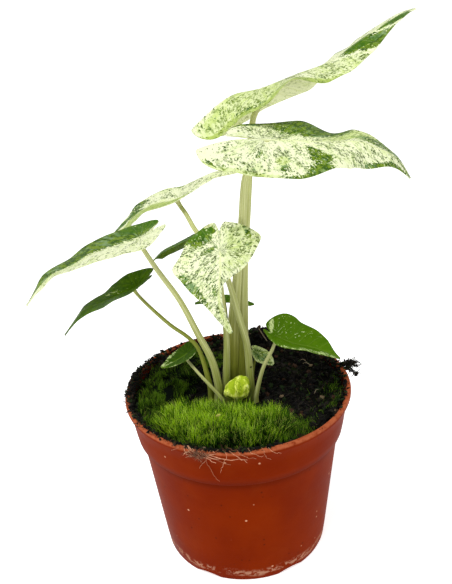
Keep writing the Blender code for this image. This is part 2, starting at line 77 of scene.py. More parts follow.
def lamp(name, place, aim, watts):
    """Round soft lamp, half a metre across, aimed at a point on the plant's axis."""
    data = bpy.data.lights.new(name, "AREA")
    data.shape = "DISK"
    data.size = 0.5
    data.energy = watts
    obj = bpy.data.objects.new(name, data)
    scene.collection.objects.link(obj)
    obj.location = place
    obj.rotation_euler = (Vector(aim) - Vector(place)).to_track_quat("-Z", "Y").to_euler()


lamp("lamp_above", (-0.25, -0.3, 0.85), (0.0, 0.0, 0.12), 5.6)
lamp("lamp_right", (0.7, -0.2, 0.45), (0.0, 0.0, 0.1), 0.9)


# Floor.
# A plain white sheet of board that the pot stands on. It is a stage for the picture and no part
# of the plant.
class Wire:
    """An output socket of a material. Sums, differences and products of wires add Math nodes."""

    def __init__(self, paint, socket):
        self.paint, self.socket = paint, socket

    def math(self, operation, a, b):
        return self.paint.node("Math", {"operation": operation}, {0: a, 1: b})

    def __add__(self, other):
        return self.math("ADD", self, other)

    def __sub__(self, other):
        return self.math("SUBTRACT", self, other)

    def __rsub__(self, other):
        return self.math("SUBTRACT", other, self)

    def __mul__(self, other):
        return self.math("MULTIPLY", self, other)

    __radd__ = __add__
    __rmul__ = __mul__


class Paint:
    """A material that is built from wires and ends in one Principled shader."""

    def __init__(self, name, **constants):
        self.material = bpy.data.materials.new(name)
        self.material.use_nodes = True
        self.tree = self.material.node_tree
        self.shader = self.tree.nodes["Principled BSDF"]
        for socket, value in constants.items():
            self.shader.inputs[socket.replace("_", " ")].default_value = value

    def node(self, kind, settings=None, sockets=None, out=0):
        """New node of a type, with its settings and the values or links of its sockets."""
        made = self.tree.nodes.new("ShaderNode" + kind)
        for name, value in (settings or {}).items():
            setattr(made, name, value)
        for name, value in (sockets or {}).items():
            if isinstance(value, Wire):
                self.tree.links.new(value.socket, made.inputs[name])
            else:
                made.inputs[name].default_value = value
        return Wire(self, made.outputs[out])

    def stretch(self, vector, scale, turn=(0.0, 0.0, 0.0)):
        """A vector, stretched along each axis and turned."""
        return self.node("Mapping", sockets={"Vector": vector, "Scale": scale, "Rotation": turn})

    def place(self, scale=(1.0, 1.0, 1.0), turn=(0.0, 0.0, 0.0)):
        """Object coordinates, stretched and turned."""
        return self.stretch(self.node("TexCoord", out="Object"), scale, turn)

    def mark(self, name):
        """The vector that the points of a mesh carry under a name."""
        return self.node("Attribute", {"attribute_name": name}, out="Vector")

    def split(self, vector):
        """The three parts of a vector."""
        made = self.node("SeparateXYZ", sockets={0: vector})
        return [Wire(self, part) for part in made.socket.node.outputs]

    def cloud(self, where, scale, detail=2.0, rough=0.5, warp=0.0):
        """Soft noise from 0 to 1 with its middle at 0.5."""
        return self.node("TexNoise", sockets={"Vector": where, "Scale": scale, "Detail": detail,
                                              "Roughness": rough, "Distortion": warp})

    def rise(self, value, low, high, bottom=0.0, top=1.0):
        """Smooth step of a value from low to high."""
        return self.node("MapRange", {"interpolation_type": "SMOOTHSTEP"},
                         {"Value": value, "From Min": low, "From Max": high,
                          "To Min": bottom, "To Max": top})

    def mix(self, first, second, share):
        """Colour between two colours or wires."""
        first, second = [c if isinstance(c, Wire) else (*c, 1.0) for c in (first, second)]
        return self.node("Mix", {"data_type": "RGBA"}, {0: share, 6: first, 7: second}, out=2)

    def coats(self, colour, *coats):
        """Colour under coats, each of them a colour and the share of the surface that it covers."""
        for coat, share in coats:
            colour = self.mix(colour, coat, share)
        return colour

    def finish(self, colour, roughness=None, height=None, distance=0.0005):
        """Link what varies over the surface to the shader."""
        self.tree.links.new(colour.socket, self.shader.inputs["Base Color"])
        if roughness:
            self.tree.links.new(roughness.socket, self.shader.inputs["Roughness"])
        if height:
            bump = self.node("Bump", sockets={"Height": height, "Distance": distance})
            self.tree.links.new(bump.socket, self.shader.inputs["Normal"])
        return self.material


def fresh(name, add, location=(0.0, 0.0, 0.0), **settings):
    """Add a primitive with nothing else selected, and name it."""
    bpy.ops.object.select_all(action="DESELECT")
    add(location=location, **settings)
    obj = bpy.context.active_object
    obj.name = obj.data.name = name
    return obj


floor = fresh("floor", bpy.ops.mesh.primitive_plane_add, size=6.0)
board = Paint("white_board", Roughness=0.9, Specular_IOR_Level=0.0, Emission_Color=WHITE,
              Emission_Strength=0.66)
floor.data.materials.append(board.finish(
    board.mix((0.93, 0.93, 0.93), (0.96, 0.96, 0.96), board.cloud(board.place(), 40.0))))

# Pot.
# A round nursery pot moulded thin from terracotta coloured plastic, with a stepped collar, a worn lip,
# a ring foot with six notches, a flat foot in the middle and eight drain holes.

# Radius and height of the rim and of the ledge; radius of the wall under the ledge and of the base,
# thickness of the wall, radius of the foot in the middle, and how far the floor stands off.
RIM, RIM_TOP, LEDGE, LEDGE_TOP = 0.045, 0.071, 0.0415, 0.054
WALL_TOP, BASE, WALL, CENTRE_FOOT, FOOT = 0.04, 0.0334, 0.0012, 0.0205, 0.0018


def only(obj):
    """Make one object active and selected alone."""
    bpy.ops.object.select_all(action="DESELECT")
    obj.select_set(True)
    bpy.context.view_layer.objects.active = obj


def spun(name, profile, steps):
    """Draw a profile of (radius, height) from the axis and back to it, and spin it to a closed body."""
    obj = fresh(name, bpy.ops.mesh.primitive_plane_add, size=0.001)
    bpy.ops.object.mode_set(mode="EDIT")
    bpy.ops.mesh.merge(type="CENTER")
    bpy.ops.transform.translate(value=(profile[0][0], 0.0, profile[0][1]))
    for (r0, z0), (r1, z1) in zip(profile, profile[1:]):
        bpy.ops.mesh.extrude_vertices_move(TRANSFORM_OT_translate={"value": (r1 - r0, 0.0, z1 - z0)})
    bpy.ops.mesh.select_all(action="SELECT")
    bpy.ops.mesh.spin(steps=steps, angle=2 * pi, center=(0.0, 0.0, 0.0), axis=(0.0, 0.0, 1.0))
    bpy.ops.mesh.select_all(action="SELECT")
    bpy.ops.mesh.remove_doubles(threshold=0.000004)
    bpy.ops.mesh.normals_make_consistent(inside=False)
    bpy.ops.object.mode_set(mode="OBJECT")
    return obj


def carve(obj, tool):
    """Cut one solid out of another and throw the tool away."""
    only(obj)
    mod = obj.modifiers.new("carve", "BOOLEAN")
    mod.operation, mod.solver, mod.object = "DIFFERENCE", "EXACT", tool
    bpy.ops.object.modifier_apply(modifier=mod.name)
    bpy.data.objects.remove(tool, do_unlink=True)


def smooth_shade(obj, angle):
    """Shade an object smoothly, but for edges sharper than an angle in degrees."""
    only(obj)
    bpy.ops.object.shade_smooth_by_angle(angle=radians(angle))


def dressed(obj, slot, node=None):
    """Hand a finished piece to the frame."""
    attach(obj, "root")
    if node:
        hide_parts(node)


def polar(r, turn):
    """Place at a distance from the pot's axis and an angle round it."""
    return r * cos(turn), r * sin(turn)


def bumps(x, y, layer, scale):
    """Smooth noise round 0 at a place; each layer has a pattern of its own."""
    return noise.noise(Vector((x, y, layer)) * scale)


def terracotta():
    """Orange plastic, pinker on the lip where it is worn and painted with a highlight, with painted shade
    under the ledge, stained inside, scuffed with chalk, and specked.
    """
    p = Paint("terracotta_plastic", Specular_IOR_Level=0.009)
    here = p.place()
    up = p.split(here)[2]
    radius = p.node("VectorMath", {"operation": "LENGTH"}, {0: p.place((1.0, 1.0, 0.0))}, out="Value")
    blotch = p.cloud(here, 45.0, 3.0)
    drift = p.cloud(here, 55.0, 2.0)
    lip = p.rise(up, RIM_TOP - 0.0015, RIM_TOP - 0.0006)
    # The pale lip is partly wear and partly a painted highlight.
    lip_wear_and_highlight = lip * p.rise(p.cloud(here, 600.0, 4.0, 0.6), 0.15, 0.6)
    # Painted shadow: the wall just under the ledge is darkened where the collar shades it.
    ledge_shadow = p.rise(up, LEDGE_TOP - 0.0048, LEDGE_TOP - 0.001) * (
        1.0 - p.rise(up, LEDGE_TOP - 0.0004, LEDGE_TOP + 0.003))
    # The inner face of the collar widens with height.
    inside = p.rise(up * 0.165 + 0.0311 - radius, 0.00012, 0.0006) * p.rise(up, 0.0555, 0.0575)
    stain = p.rise(p.cloud(here, 190.0, 4.0, 0.6), 0.36, 0.62)
    # The chalk lies in a band just above the foot.
    band = p.rise(up + drift * 0.004, 0.004, 0.0058) * (1.0 - p.rise(up + drift * 0.004, 0.0066, 0.0092))
    chalk = p.cloud(p.place((1.0, 1.0, 1.5)), 330.0, 5.0, 0.7, 0.4)
    scuff = band * p.rise(chalk + drift * 0.25, 0.585, 0.7)
    grime = p.rise(p.cloud(here, 520.0, 4.0, 0.7), 0.6, 0.7) * (1.0 - p.rise(up, 0.003, 0.018))
    cells = p.node("TexVoronoi", {"feature": "F1"}, {"Vector": here, "Scale": 320.0, "Randomness": 1.0})
    pick = p.split(Wire(p, cells.socket.node.outputs["Color"]))[0]
    speck = 1.0 - p.rise(cells, 0.08, 0.19)
    colour = p.coats(
        (0.158, 0.012, 0.0),
        ((0.196, 0.0175, 0.0), p.rise(blotch, 0.3, 0.7)),
        ((0.54, 0.155, 0.065), lip_wear_and_highlight * 0.6),
        ((0.085, 0.006, 0.0), ledge_shadow * 0.55),
        ((0.012, 0.006, 0.003), inside * (stain * 0.35 + 0.62)),
        ((0.46, 0.24, 0.15), scuff * 0.75),
        ((0.05, 0.01, 0.003), grime * 0.45),
        ((0.34, 0.09, 0.015), p.rise(p.cloud(here, 60.0, 5.0, 0.7), 0.5, 0.75) * 0.05),
        ((0.6, 0.3, 0.17), speck * p.rise(pick, 0.905, 0.91)),
        ((0.05, 0.008, 0.002), speck * (1.0 - p.rise(pick, 0.17, 0.18)) * 0.6))
    roughness = p.rise(blotch, 0.2, 0.8, 0.36, 0.5) + scuff * 0.3 + inside * 0.3
    height = (p.cloud(here, 900.0, 2.0) * 0.35 + p.cloud(p.place((1.0, 1.0, 5.0)), 60.0, 2.0) * 0.6
              + speck * 0.15)
    return p.finish(colour, roughness, height, 0.00012)


pot_profile = [
    (0.0, 0.0), (0.01, 0.0), (CENTRE_FOOT - 0.0004, 0.0), (CENTRE_FOOT, 0.0002),
    (CENTRE_FOOT + 0.0008, FOOT - 0.0002), (CENTRE_FOOT + 0.0012, FOOT), (BASE - 0.0026, FOOT),
    (BASE - 0.0022, FOOT - 0.0003), (BASE - 0.0019, 0.0002), (BASE - 0.0016, 0.0), (BASE - 0.0009, 0.0),
    (BASE - 0.0003, 0.0003), (BASE, 0.001), (BASE + 0.0007, 0.006), (BASE + 0.0019, 0.016),
    (BASE + 0.0031, 0.026), (BASE + 0.0043, 0.036), (BASE + 0.0054, 0.045),
    (WALL_TOP - 0.0002, LEDGE_TOP - 0.0018), (WALL_TOP, LEDGE_TOP - 0.0009),
    (WALL_TOP + 0.0004, LEDGE_TOP - 0.0003), (LEDGE - 0.0004, LEDGE_TOP - 0.0002),
    (LEDGE, LEDGE_TOP + 0.0003), (LEDGE + 0.0006, LEDGE_TOP + 0.0035), (LEDGE + 0.0014, LEDGE_TOP + 0.009),
    (RIM - 0.0014, RIM_TOP - 0.0032), (RIM - 0.0009, RIM_TOP - 0.0026), (RIM - 0.0002, RIM_TOP - 0.0022),
    (RIM, RIM_TOP - 0.0016), (RIM, RIM_TOP - 0.0008), (RIM - 0.0002, RIM_TOP - 0.0002),
    (RIM - 0.0007, RIM_TOP), (RIM - 0.0015, RIM_TOP), (RIM - 0.0018, RIM_TOP - 0.0003),
    (RIM - 0.0022, RIM_TOP - 0.001), (RIM - 0.003, RIM_TOP - 0.008), (LEDGE - 0.0008, LEDGE_TOP + 0.0016),
    (WALL_TOP - WALL, LEDGE_TOP - 0.001), (BASE - WALL + 0.0036, 0.03),
    (BASE - WALL, FOOT + 0.0023), (BASE - 0.0024, FOOT + 0.0013), (CENTRE_FOOT + 0.0004, FOOT + 0.0013),
    (CENTRE_FOOT - 0.0006, 0.0013), (0.0, 0.0013)]
pot = spun("pot_shell", pot_profile, 120)
for k in range(6):
    turn = radians(60 * k)
    notch = fresh("notch", bpy.ops.mesh.primitive_cylinder_add, (*polar(BASE + 0.0025, turn), -0.0013),
                  vertices=24, radius=0.003, depth=0.01, rotation=(0.0, radians(90), turn))
    notch.scale = (1.0, 2.2, 1.0)
    carve(pot, notch)
for k in range(8):
    place = (*polar(0.0265, radians(45 * k + 22.5)), FOOT)
    carve(pot, fresh("drain_hole", bpy.ops.mesh.primitive_cylinder_add, place, vertices=20, radius=0.0024,
                     depth=0.008))
for v in pot.data.vertices:
    if v.co.z > RIM_TOP - 0.0012:
        v.co.z += min(0.0, bumps(v.co.x, v.co.y, 0.0, 230) * 0.0002 - 0.00005)
smooth_shade(pot, 40)
pot.data.materials.append(terracotta())
dressed(pot, "pot", "pot")

# Soil.
# Damp black peat, filled to just under the rim. Its top is lumpy and heaped at the back right.
# The crumbs, bark and fibres that lie on it have sections of their own below.
SOIL_TOP, HEAP, CROWN = 0.0675, (0.0105, 0.034), (-0.0015, -0.003)


def eased(x):
    """Smooth step from 0 to 1."""
    x = min(1.0, max(0.0, x))
    return x * x * (3 - 2 * x)


def ground(x, y):
    """Height of the soil at a place, without its fine grain."""
    heap = exp(-(((x - HEAP[0]) / 0.011) ** 2 + ((y - HEAP[1]) / 0.008) ** 2)) * 0.0098
    lumps = bumps(x, y, 1.7, 60) * 0.0012 + bumps(x, y, 5.2, 150) * 0.0006
    r = hypot(x, y)
    bank = eased((r - 0.0345) / 0.007) * eased((x + 1.3 * y + 0.022) / 0.022)
    bank *= 0.0021 + 0.0011 * bumps(x, y, 8.1, 110)
    return SOIL_TOP + (heap + lumps) * eased((0.043 - r) / 0.0025) + bank - 0.0002


def peat():
    """Nearly black soil with brown and green stains and a few pale grains."""
    p = Paint("peat", Specular_IOR_Level=0.04)
    here = p.place()
    fine = p.cloud(here, 1400.0, 4.0, 0.6)
    colour = p.coats(
        (0.0012, 0.0011, 0.0008),
        ((0.012, 0.01, 0.007), p.rise(fine, 0.42, 0.74)),
        ((0.04, 0.016, 0.009), p.rise(p.cloud(here, 170.0, 3.0), 0.62, 0.74) * 0.5),
        ((0.02, 0.034, 0.008), p.rise(p.cloud(here, 95.0, 3.0), 0.55, 0.68) * 0.45),
        ((0.16, 0.13, 0.09), p.rise(p.cloud(here, 1900.0, 1.0), 0.78, 0.82) * 0.6))
    return p.finish(colour, p.rise(fine, 0.3, 0.7, 0.55, 0.92), fine, 0.0004)


soil_profile = [(0.0, 0.0018), (0.0195, 0.0018), (0.0212, 0.0036), (0.0305, 0.0036), (0.0318, 0.0045),
                (0.0385, 0.053), (0.0404, 0.0556), (0.0421, SOIL_TOP - 0.0012)]
soil = spun("soil_bed", soil_profile + [(0.0008 * k, SOIL_TOP) for k in reversed(range(53))], 150)
for v in soil.data.vertices:
    if v.co.z > SOIL_TOP - 0.0001:
        x, y = v.co.x, v.co.y
        grit = bumps(x, y, 0.2, 420) * 0.00045 + bumps(x, y, 0.9, 900) * 0.00022
        cell = noise.cell(Vector((x, y, 3.0)) * 640) * 0.00025
        v.co.z = ground(x, y) + (grit + cell) * eased((0.042 - hypot(x, y)) / 0.002)
smooth_shade(soil, 50)
soil.data.materials.append(peat())
dressed(soil, "soil", "soil")

# Leaf blades.
# Thin arrow-shaped leaves, each bent along its midrib, with rounded lobes behind the joint, veins
# that stand out below and sink in above, and a mosaic of cream, lime and green that follows the veins.

# Steps in which each span of a midrib is measured.
STEPS = 24


class Midrib:
    """Line of the leaf axis from between the lobes, through the joint, to the tip.

    Each station holds x, y and z in millimetres, then half width in millimetres and lift in degrees
    of the right half, then of the left half, seen from the joint to the tip.
    """

    def __init__(self, stations, joint, lobes, sinus, facing):
        self.lobes, self.sinus = lobes, sinus
        self.facing = Vector(facing).normalized()
        self.points = [Vector(row[:3]) * 0.001 for row in stations]
        self.sides = [[(row[3] * 0.001, row[4]) for row in stations],
                      [(row[5] * 0.001, row[6]) for row in stations]]
        self.lengths = [0.0]
        last = self.points[0]
        for k in range(1, STEPS * (len(stations) - 1) + 1):
            here = through(self.points, k / STEPS)
            self.lengths.append(self.lengths[-1] + (here - last).length)
            last = here
        self.length = self.lengths[-1]
        self.joint = self.lengths[STEPS * joint]

    def span(self, s):
        """How many spans a length along the midrib takes up."""
        k = min(max(bisect.bisect_right(self.lengths, s), 1), len(self.lengths) - 1)
        s0, s1 = self.lengths[k - 1], self.lengths[k]
        return min(max((k - 1 + (s - s0) / (s1 - s0)) / STEPS, 0.0), len(self.points) - 1)

    def frame(self, s):
        """Place, direction, normal and right side of the midrib at a length, and the spans up to it."""
        u = self.span(s)
        ahead, behind = min(u + 0.3, len(self.points) - 1), max(u - 0.3, 0.0)
        tangent = (through(self.points, ahead) - through(self.points, behind)).normalized()
        normal = (self.facing - tangent * self.facing.dot(tangent)).normalized()
        place = through(self.points, u) + tangent * min(s, 0.0)
        return place, tangent, normal, tangent.cross(normal), u

    def half(self, side, u):
        """Width and lift of one half of the blade after u spans."""
        rows = self.sides[side]
        i = min(int(u), len(rows) - 2)
        before, after = rows[max(i - 1, 0)][0], rows[min(i + 2, len(rows) - 1)][0]
        f = u - i
        width = rows[i][0] + f * (rows[i + 1][0] - rows[i][0])
        width += 0.35 * f * (1 - f) * (rows[i][0] + rows[i + 1][0] - before - after)
        f = eased(f)
        return width, radians(rows[i][1] * (1 - f) + rows[i + 1][1] * f)


def through(points, u):
    """Smooth curve through points; u runs from 0 to the number of spans."""
    n = len(points) - 1
    i = min(int(u), n - 1)
    f = u - i
    p0 = points[i - 1] if i > 0 else points[0] * 2 - points[1]
    p3 = points[i + 2] if i + 2 <= n else points[n] * 2 - points[n - 1]
    p1, p2 = points[i], points[i + 1]
    return ((p1 * 2) + (p2 - p0) * f + (p0 * 2 - p1 * 5 + p2 * 4 - p3) * f * f
            + (p1 * 3 - p0 - p2 * 3 + p3) * f ** 3) * 0.5


def on_blade(rib, wave, t, v):
    """Point of the blade, and its distances in millimetres along and across the flat leaf."""
    side_index = 0 if v > 0 else 1
    q = (1 - cos(pi * t)) / 2
    width, _ = rib.half(side_index, rib.span(rib.length * q))
    rounded = sqrt(1 - (1 - q / 0.13) ** 2) if q < 0.13 else 1.0
    half = width * (rib.sinus + (1 - rib.sinus) * rounded) + 0.0005 * q
    across = abs(v)
    margin = rib.length * q - rib.joint
    if margin < 0:
        margin *= rib.lobes[side_index]
    behind = rib.joint * rib.lobes[2]
    along = ((rib.length - rib.joint + behind) * t ** 2.3 - behind) * (1 - across)
    along += margin * (sin(across * pi / 2) if margin < 0 else across)
    reach = half * across
    place, _, normal, side, u = rib.frame(along + rib.joint)
    _, turn = rib.half(side_index, u)
    amp, cycles, phase = wave
    if v < 0:
        side, phase = -side, phase + 0.37
    ripple = amp * across ** 2 * sin(2 * pi * (cycles * q + phase)) * (1 - q) ** 0.3
    point = place + side * (reach * cos(turn)) + normal * (reach * sin(turn) + ripple)
    return point, along * 1000, reach * 1000


def vein_flow(x, y, pitch):
    """Where the vein through a flat place leaves the midrib, and the distance along that vein."""
    start = x - 0.75 * y + 0.006 * y * y
    if start >= 0:
        return start, hypot(y, x - start)
    return -pitch * 1.9 * (atan2(y, x) - 0.9273), hypot(x, y)


def mark(mesh, name, values):
    """Store a vector on each point of a mesh, for its paint to read."""
    layer = mesh.attributes.new(name, "FLOAT_VECTOR", "POINT")
    layer.data.foreach_set("vector", np.ravel(values))


def patchiness(patches, t, v):
    """How strong the nearest patches are at a place of the leaf, from 0 up."""
    return max([0.0] + [strength * eased((1.4 - hypot((t - t0) / rt, (v - v0) / rv)) / 0.8)
                        for t0, v0, rt, rv, strength in patches])


def blade(letter, rib, wave, rows, columns, patches, pitch, back, paints):
    """Grid laid on the midrib, thickened below, with ridges under the veins and grooves above."""
    obj = fresh("leaf_" + letter, bpy.ops.mesh.primitive_grid_add, x_subdivisions=rows,
                y_subdivisions=2 * columns, size=1.0)
    mesh = obj.data
    flow, tint, shape = [], [], []
    for vert in mesh.vertices:
        t, v = vert.co.x + 0.5, -2 * vert.co.y
        v = copysign(abs(v) ** 1.25, v)
        vert.co, x, y = on_blade(rib, wave, t, v)
        start, far = vein_flow(x, y, pitch)
        q = (1 - cos(pi * t)) / 2
        swell = cos(2 * pi * start / pitch) * eased(y / 2.0) * (1 - abs(v) ** 3) * (1 - q)
        rib_line, lobe_line = 0.0, 0.0
        if x > -0.3:
            rib_line = exp(-(y / 0.55) ** 2) * (1 - 0.85 * max(0.0, x) / (rib.length - rib.joint) / 1000)
        if x < 0:
            lobe_line = exp(-((y - abs(x) * 0.62) / 0.5) ** 2) * eased((x + 14) / 12)
        shape.append((v, swell, rib_line, lobe_line))
        flow.append((start, far, ord(letter) * 7.3 + (31.0 if v < 0 else 0.0)))
        tint.append([patchiness(patches.get(kind, ()), t, v) for kind in ("green", "lime", "flecks")])
    mark(mesh, "flow", flow)
    mark(mesh, "tint", tint)
    for paint in paints:
        mesh.materials.append(paint)
    mesh.update()
    normals = [v.normal.copy() for v in mesh.vertices]
    count = len(normals)
    solid = obj.modifiers.new("thickness", "SOLIDIFY")
    solid.thickness, solid.offset = 0.0005, -1.0
    solid.material_offset = solid.material_offset_rim = 1
    bpy.ops.object.modifier_apply(modifier=solid.name)
    mesh = obj.data
    for i, (v, swell, rib_line, lobe_line) in enumerate(shape):
        middle = mesh.vertices[i].co.copy()
        rim = 1 - abs(v) ** 6
        puff = swell * 0.00016 * rim
        above = 0.00008 + 0.00012 * rim + puff - rib_line * 0.00016 - lobe_line * 0.00005
        below = -0.00006 - 0.00014 * rim + puff - rib_line * back - lobe_line * 0.00022
        mesh.vertices[i].co = middle + normals[i] * above
        mesh.vertices[i + count].co = middle + normals[i] * below
    mesh.update()
    smooth_shade(obj, 60)
    return obj


def leaf_masks(p, pitch):
    """Attributes of a blade, and the masks that its upper and lower face share."""
    flow = p.mark("flow")
    start, far, _ = p.split(flow)
    green, lime, flecks = p.split(p.mark("tint"))
    streaked = p.stretch(flow, (1.0, 0.62, 1.0))
    near_vein = p.node("Math", {"operation": "PINGPONG"}, {0: start, 1: pitch / 2})
    vein = (1.0 - p.rise(near_vein, 0.05, 0.34)) * p.rise(far, 0.4, 1.2)
    midrib = 1.0 - p.rise(far, 0.3, 0.62)
    mid = p.cloud(streaked, 0.42, 3.0, 0.6)
    fine = p.cloud(streaked, 1.25, 3.0, 0.6)
    return green, lime, flecks, streaked, vein, midrib, mid, fine


def mosaic_paint(name, below):
    """Cream leaf with lime clouds, grey-green mottles, dark specks and sectors that stay green."""
    p = Paint(name, Specular_IOR_Level=0.12)
    green, lime, flecks, streaked, vein, midrib, mid, fine = leaf_masks(p, 5.0)
    crowd = p.cloud(streaked, 0.26, 2.0)
    mottle = p.cloud(streaked, 0.95, 3.0, 0.62, 0.3)
    speck = p.cloud(streaked, 1.75, 2.0, 0.62, 0.5)
    more = flecks * 0.07
    cream = p.cloud(streaked, 1.4, 3.0, 0.6, 0.5) + more
    inner = p.coats(
        (0.032, 0.086, 0.004),
        ((0.15, 0.24, 0.012), p.rise(p.cloud(streaked, 0.65, 4.0, 0.65), 0.44, 0.58)),
        ((0.21, 0.33, 0.15), p.rise(mid, 0.54, 0.64) * 0.7),
        ((0.044, 0.13, 0.002), p.rise(green, 1.25, 1.5) * 0.75),
        ((0.64, 0.72, 0.36), p.rise(cream, 0.655, 0.695) * 0.85))
    dots = speck + (crowd - 0.5) * 0.3 + (mottle - 0.5) * 0.3 + more
    sector = p.rise(green + (mid - 0.5) * 1.3 + (speck - 0.5) * 2.8, 0.44, 0.54)
    colour = p.coats(
        (0.79, 0.835, 0.545),
        ((0.54, 0.65, 0.22),
         p.rise(mid, 0.48, 0.64) * 0.45 + p.rise(lime + (fine - 0.5) * 1.2, 0.35, 0.75) * 0.55),
        ((0.33, 0.45, 0.06), p.rise(lime + (mottle - 0.5) * 2.0, 0.75, 1.15) * 0.8),
        ((0.25, 0.34, 0.11), p.rise(mottle + (crowd - 0.5) * 0.45 + more, 0.555, 0.625) * 0.62),
        (p.mix((0.04, 0.066, 0.012), (0.13, 0.19, 0.012), p.rise(lime, 0.25, 0.9)),
         p.rise(dots, 0.605, 0.64) * 0.95),
        (inner, sector),
        ((0.7, 0.76, 0.36), (vein * 0.28 + midrib * 0.5) * (1.0 - sector * 0.75)))
    if below:
        colour = p.coats(colour, ((0.55, 0.58, 0.28), 0.6),
                         ((0.48, 0.56, 0.13), vein * 0.35 + midrib * 0.8))
    height = fine * 0.5 + p.cloud(streaked, 4.0, 2.0) * 0.5 - vein * (0.0 if below else 0.5)
    return p.finish(colour, p.rise(fine, 0.3, 0.7, 0.5, 0.38), height, 0.0001)


def green_paint(name, below):
    """Plain green leaf with lighter veins, and cream flecks where the tint asks for them."""
    p = Paint(name, Specular_IOR_Level=0.05)
    green, lime, flecks, streaked, vein, midrib, mid, fine = leaf_masks(p, 4.2)
    cream = p.cloud(streaked, 1.05, 3.0, 0.62, 0.6) + flecks * 0.17
    colour = p.coats(
        (0.046, 0.122, 0.001),
        ((0.098, 0.195, 0.003), p.rise(mid, 0.35, 0.68)),
        ((0.07, 0.165, 0.001), p.rise(lime, 0.2, 0.8) * 0.7),
        ((0.022, 0.06, 0.003), green * 0.65),
        ((0.13, 0.225, 0.02), vein * 0.35 + midrib * 0.6),
        ((0.62, 0.74, 0.32), p.rise(cream, 0.69, 0.725) * 0.9))
    if below:
        colour = p.coats(colour, ((0.075, 0.1, 0.012), 0.55),
                         ((0.13, 0.17, 0.025), vein * 0.4 + midrib * 0.7))
    height = fine * 0.4 + p.cloud(streaked, 5.0, 2.0) * 0.4 - vein * (0.0 if below else 0.6)
    return p.finish(colour, p.rise(mid, 0.3, 0.7, 0.36, 0.48), height, 0.0001)


mosaic = mosaic_paint("mosaic_leaf_above", False), mosaic_paint("mosaic_leaf_below", True)
plain_green = green_paint("green_leaf_above", False), green_paint("green_leaf_below", True)

